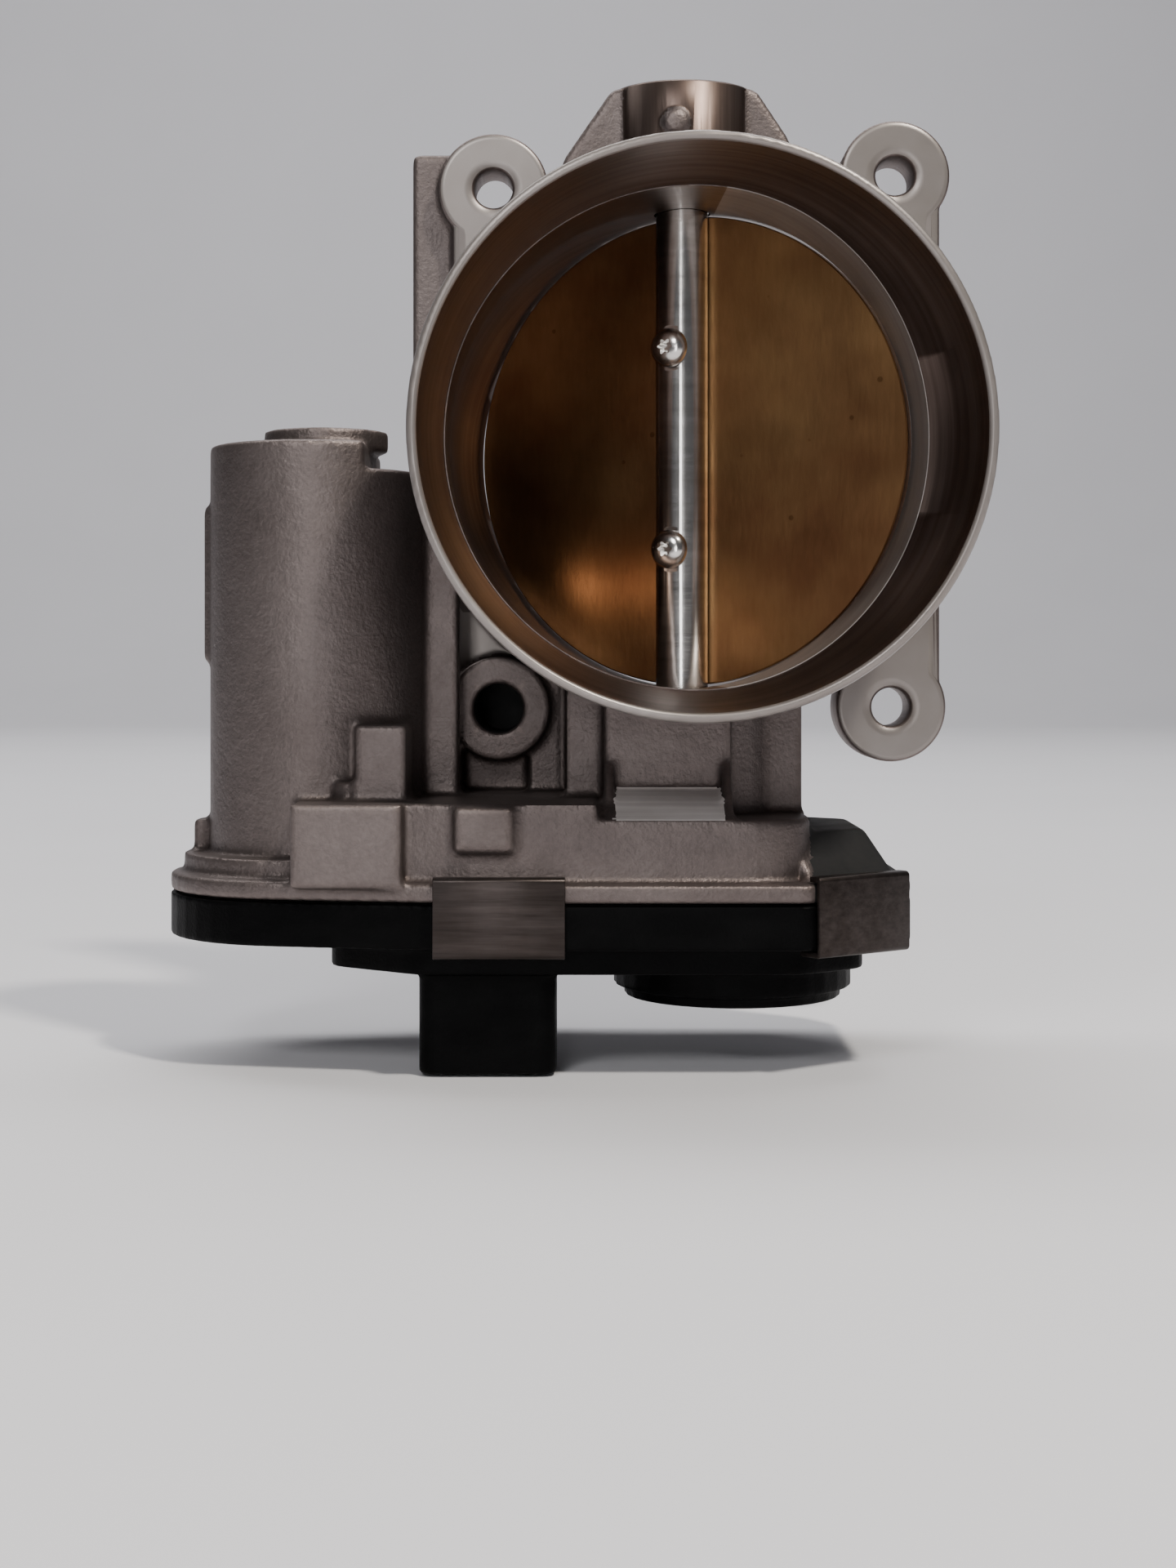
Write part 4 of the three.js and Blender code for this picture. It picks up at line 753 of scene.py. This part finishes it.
def throttle_shaft():
    """Ground bar with the milled flat that carries the plate, a spot face under each screw and grooves."""
    low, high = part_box("throttle_shaft")
    chamfer = 0.6 * MM
    groove = 0.35 * MM
    profile = [(0, low.z), (SHAFT_RADIUS - chamfer, low.z), (SHAFT_RADIUS, low.z + chamfer)]
    for z in (-47 * MM, 47 * MM):
        profile += [
            (SHAFT_RADIUS, z - 0.6 * MM),
            (SHAFT_RADIUS - groove, z - 0.4 * MM),
            (SHAFT_RADIUS - groove, z + 0.4 * MM),
            (SHAFT_RADIUS, z + 0.6 * MM),
        ]
    profile += [(SHAFT_RADIUS, high.z - chamfer), (SHAFT_RADIUS - chamfer, high.z), (0, high.z)]
    bar = turned("spindle", profile, sides=96, centre=(AXIS.x, AXIS.y, 0))
    reach = PLATE_RADIUS + 0.5 * MM
    flat_low = (AXIS.x - 8 * MM, PLATE_FRONT_Y - 0.3 * MM, -reach)
    flat_high = (AXIS.x + 8 * MM, AXIS.y + 9 * MM, reach)
    flat = block("flat", flat_low, flat_high)
    cutters = [flat] + [screw_hole(side * SCREW_Z) for side in (-1, 1)]
    for side in (-1, 1):
        seat = [(0, -8 * MM), (4.3 * MM, -8 * MM), (4.3 * MM, -4.75 * MM), (0, -4.75 * MM)]
        centre = (AXIS.x, AXIS.y, side * SCREW_Z)
        cutters.append(turned("spot_face", seat, sides=48, axis="Y", centre=centre))
    combine(bar, cutters, "DIFFERENCE")
    at_rest_tilt(bar)
    return finish_piece(bar, "throttle_shaft", "throttle", "polished_steel", 30)


def plate_screw(node, z):
    """Pan head with a rounded crown, a six-lobed recess, and a staked end behind the plate."""
    head_y = AXIS.y - SHAFT_RADIUS - 0.3 * MM
    end_y = PLATE_FRONT_Y + PLATE_THICKNESS + 1 * MM
    profile = [
        (0, head_y - 2.4 * MM),
        (1.4 * MM, head_y - 2.36 * MM),
        (2.4 * MM, head_y - 2.1 * MM),
        (3.1 * MM, head_y - 1.6 * MM),
        (3.55 * MM, head_y - 0.95 * MM),
        (SCREW_HEAD_RADIUS, head_y - 0.3 * MM),
        (SCREW_HEAD_RADIUS - 0.1 * MM, head_y),
        (2 * MM, head_y),
        (2 * MM, end_y - 0.4 * MM),
        (1.6 * MM, end_y),
        (0, end_y),
    ]
    screw = turned(node + "_pan", profile, sides=64, axis="Y", centre=(AXIS.x, 0, z))
    lobes = [
        (
            AXIS.x + (1.25 + 0.28 * math.cos(6 * turn)) * MM * math.cos(turn),
            z + (1.25 + 0.28 * math.cos(6 * turn)) * MM * math.sin(turn),
        )
        for turn in (2 * math.pi * step / 60 for step in range(60))
    ]
    combine(screw, [prism("recess", lobes, head_y - 4 * MM, head_y - 0.9 * MM, "Y")], "DIFFERENCE")
    at_rest_tilt(screw)
    return finish_piece(screw, node, "throttle", "polished_steel", 30)

# ---- Cover and clips ------------------------------------------------------------------------------


def gear_cover():
    """The black cover with moulded rounds, stiffening ribs under its floor and grip ribs on the socket."""
    cover = cad_copy("gear_cover", "cover_moulding")
    soften(cover, 0.5 * MM, 3, 150_000)
    return finish_piece(cover, "gear_cover", "housing", "black_plastic", 50)


# Width of each clip, the turn that faces it outward, and the middle of its stretch of the edge.
CORNER_TURN = math.atan2(CHAMBER_HALF_WIDTH - CORNER_HALF_LENGTH, COVER_HIGH.x - CORNER_START_X)
CORNER_MIDDLE_X = (CORNER_START_X + COVER_HIGH.x) / 2
CORNER_MIDDLE_REACH = (CHAMBER_HALF_WIDTH + CORNER_HALF_LENGTH) / 2
CLIPS = {
    "cover_clip_front": (23.3 * MM, math.pi, (-35.25 * MM, AXIS.y - CHAMBER_HALF_WIDTH)),
    "cover_clip_back": (23.3 * MM, 0, (-35.25 * MM, AXIS.y + CHAMBER_HALF_WIDTH)),
    "cover_clip_front_right": (
        22 * MM, math.pi + CORNER_TURN, (CORNER_MIDDLE_X, AXIS.y - CORNER_MIDDLE_REACH)),
    "cover_clip_back_right": (
        22 * MM, -CORNER_TURN, (CORNER_MIDDLE_X, AXIS.y + CORNER_MIDDLE_REACH)),
}


def cover_clip(node, width, turn, middle):
    """One bent strip: a flat leaf with a hook over the band and one under the cover."""
    low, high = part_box(node)
    gap = 0.3 * MM
    strip = 1 * MM
    bend = 0.9 * MM
    outside = gap + strip
    lower_reach = gap - 4.2 * MM
    upper_reach = gap - 1.9 * MM
    turns = [math.radians(15 * step) for step in range(7)]
    outer = [(lower_reach, low.z)]
    outer += [
        (outside - bend * (1 - math.sin(angle)), low.z + bend * (1 - math.cos(angle)))
        for angle in turns
    ]
    outer += [
        (outside - bend * (1 - math.cos(angle)), high.z - bend * (1 - math.sin(angle)))
        for angle in turns
    ]
    inner = [
        (upper_reach, high.z),
        (upper_reach, high.z - strip),
        (gap, high.z - strip),
        (gap, low.z + strip),
        (lower_reach, low.z + strip),
    ]
    clip = prism(node + "_strip", outer + inner, -width / 2, width / 2, "X")
    bevel(clip, 0.18 * MM, 2)
    clip.data.transform(Matrix.Translation((*middle, 0)) @ Matrix.Rotation(turn, 4, "Z"))
    return finish_piece(clip, node, "housing", "spring_steel", 30)


# ---- Pieces kept from the frame -------------------------------------------------------------------

KEPT = {
    "gear_nylon": ["sector_gear", "idler_gear", "motor_brush_card"],
    "polished_steel": [
        "upper_needle_bearing", "shaft_end_plug", "lower_bearing_outer_ring", "lower_bearing_inner_ring",
        "lower_bearing_ball_cage", "idler_pin", "closed_stop_screw", "motor_screw_front",
        "motor_screw_back", "motor_shaft",
    ],
    "rubber": ["upper_shaft_seal", "lower_shaft_seal", "cover_seal"],
    "spring_steel": ["return_spring", "motor_can", "motor_end_plate", "motor_wave_washer"],
    "plate_brass": ["motor_rear_bush", "motor_pinion"],
    "magnet": ["sensor_magnet", "motor_magnet_left", "motor_magnet_right"],
    "laminated_steel": ["motor_armature_core"],
    "copper": [
        "motor_armature_winding", "motor_commutator",
        *(f"connector_terminal_{number}" for number in range(1, 7)),
    ],
    "circuit_board": ["sensor_board"],
    "black_plastic": ["sensor_chip_left", "sensor_chip_right"],
}


def keep_node(node, material):
    """Gives a CAD node its material, a weld and broken edges."""
    piece = frame["nodes"][node]
    piece.data.materials.clear()
    piece.data.materials.append(material)
    weld = piece.modifiers.new("weld", "WELD")
    weld.merge_threshold = 2e-6
    edges = piece.modifiers.new("edges", "BEVEL")
    edges.width = 0.12 * MM
    edges.segments = 2
    edges.limit_method = "ANGLE"
    edges.angle_limit = math.radians(50)
    edges.use_clamp_overlap = True


# ---- Studio ---------------------------------------------------------------------------------------


def studio_material():
    """Matt off-white paper."""
    recipe = Recipe("studio_paper", 0, 0.9, (0.8, 0.79, 0.82))
    recipe.color(recipe.ramp(recipe.noise(0.2, 2), [(0.3, (0.79, 0.78, 0.81)), (0.7, (0.81, 0.8, 0.83))]))
    return recipe.material


def studio_floor():
    """A pale paper sweep: flat under the part and curving up far behind it."""
    half_width = 4
    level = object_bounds()[0][2] - 0.0005
    curve = arc((2.2, level + 0.9), 0.9, 270, 360, 12)
    profile = [(-2.5, level)] + curve + [(3.1, level + 4)]
    shape = bmesh.new()
    sides = [[shape.verts.new((x, y, z)) for y, z in profile] for x in (-half_width, half_width)]
    for index in range(len(profile) - 1):
        shape.faces.new((sides[0][index], sides[1][index], sides[1][index + 1], sides[0][index + 1]))
    floor = object_from("studio_sweep", shape)
    smooth_shading(floor)
    floor.data.materials.append(studio_material())


def soft_light(name, place, aim, size, watts, color=(1, 1, 1)):
    """A square soft box at a place, turned towards a point."""
    data = bpy.data.lights.new(name, "AREA")
    data.shape = "RECTANGLE"
    data.size, data.size_y = size
    data.energy = watts
    data.color = color
    lamp = bpy.data.objects.new(name, data)
    bpy.context.scene.collection.objects.link(lamp)
    lamp.location = place
    lamp.rotation_euler = (Vector(aim) - Vector(place)).to_track_quat("-Z", "Y").to_euler()


def studio_lights():
    """A dim surround, four soft boxes on the part and one that lights the sweep."""
    world = bpy.data.worlds.new("studio")
    bpy.context.scene.world = world
    world.use_nodes = True
    backdrop = world.node_tree.nodes["Background"]
    backdrop.inputs["Color"].default_value = (0.86, 0.86, 0.9, 1)
    backdrop.inputs["Strength"].default_value = 0.1
    middle = (-0.01, -0.03, 0)
    soft_light("key", (-0.24, -0.72, 0.42), middle, (0.2, 0.2), 1.9)
    soft_light("glint", (0.31, -0.5, 0.7), middle, (0.08, 0.08), 7, (1, 0.95, 0.86))
    soft_light("strip", (-0.1, -0.85, 0), middle, (0.07, 0.3), 0.8)
    soft_light("top", (0.05, 0.1, 0.8), middle, (0.4, 0.3), 1)
    soft_light("sweep", (-0.3, 0.7, 1.7), (-0.3, 1.9, 0), (2.4, 1.2), 44)


# The view in the photograph: straight at the mouth, from a little below and left of the bore.
CAMERA_PLACE = (-21 * MM, MOUTH_Y - 390 * MM, -40.2 * MM)
CAMERA_LENS = 52.5  # mm, on a 36 mm sensor along the long side of the frame
CAMERA_SHIFT = (0.0052, -0.078)


def photo_camera():
    """The camera, level and square to the mouth, with its frame shifted."""
    data = bpy.data.cameras.new("photo_view")
    data.lens = CAMERA_LENS
    data.shift_x, data.shift_y = CAMERA_SHIFT
    data.clip_start = 0.01
    camera = bpy.data.objects.new("photo_view", data)
    bpy.context.scene.collection.objects.link(camera)
    camera.location = CAMERA_PLACE
    camera.rotation_euler = (math.radians(90), 0, 0)
    bpy.context.scene.camera = camera


# ---- Build ----------------------------------------------------------------------------------------

photo_camera()
studio_floor()
studio_lights()
throttle_housing()
throttle_shaft()
throttle_plate()
plate_screw("plate_screw_upper", SCREW_Z)
plate_screw("plate_screw_lower", -SCREW_Z)
gear_cover()
for clip_node, (clip_width, clip_turn, clip_middle) in CLIPS.items():
    cover_clip(clip_node, clip_width, clip_turn, clip_middle)
for slot_name, nodes in KEPT.items():
    for kept_node in nodes:
        keep_node(kept_node, MATERIALS[slot_name])
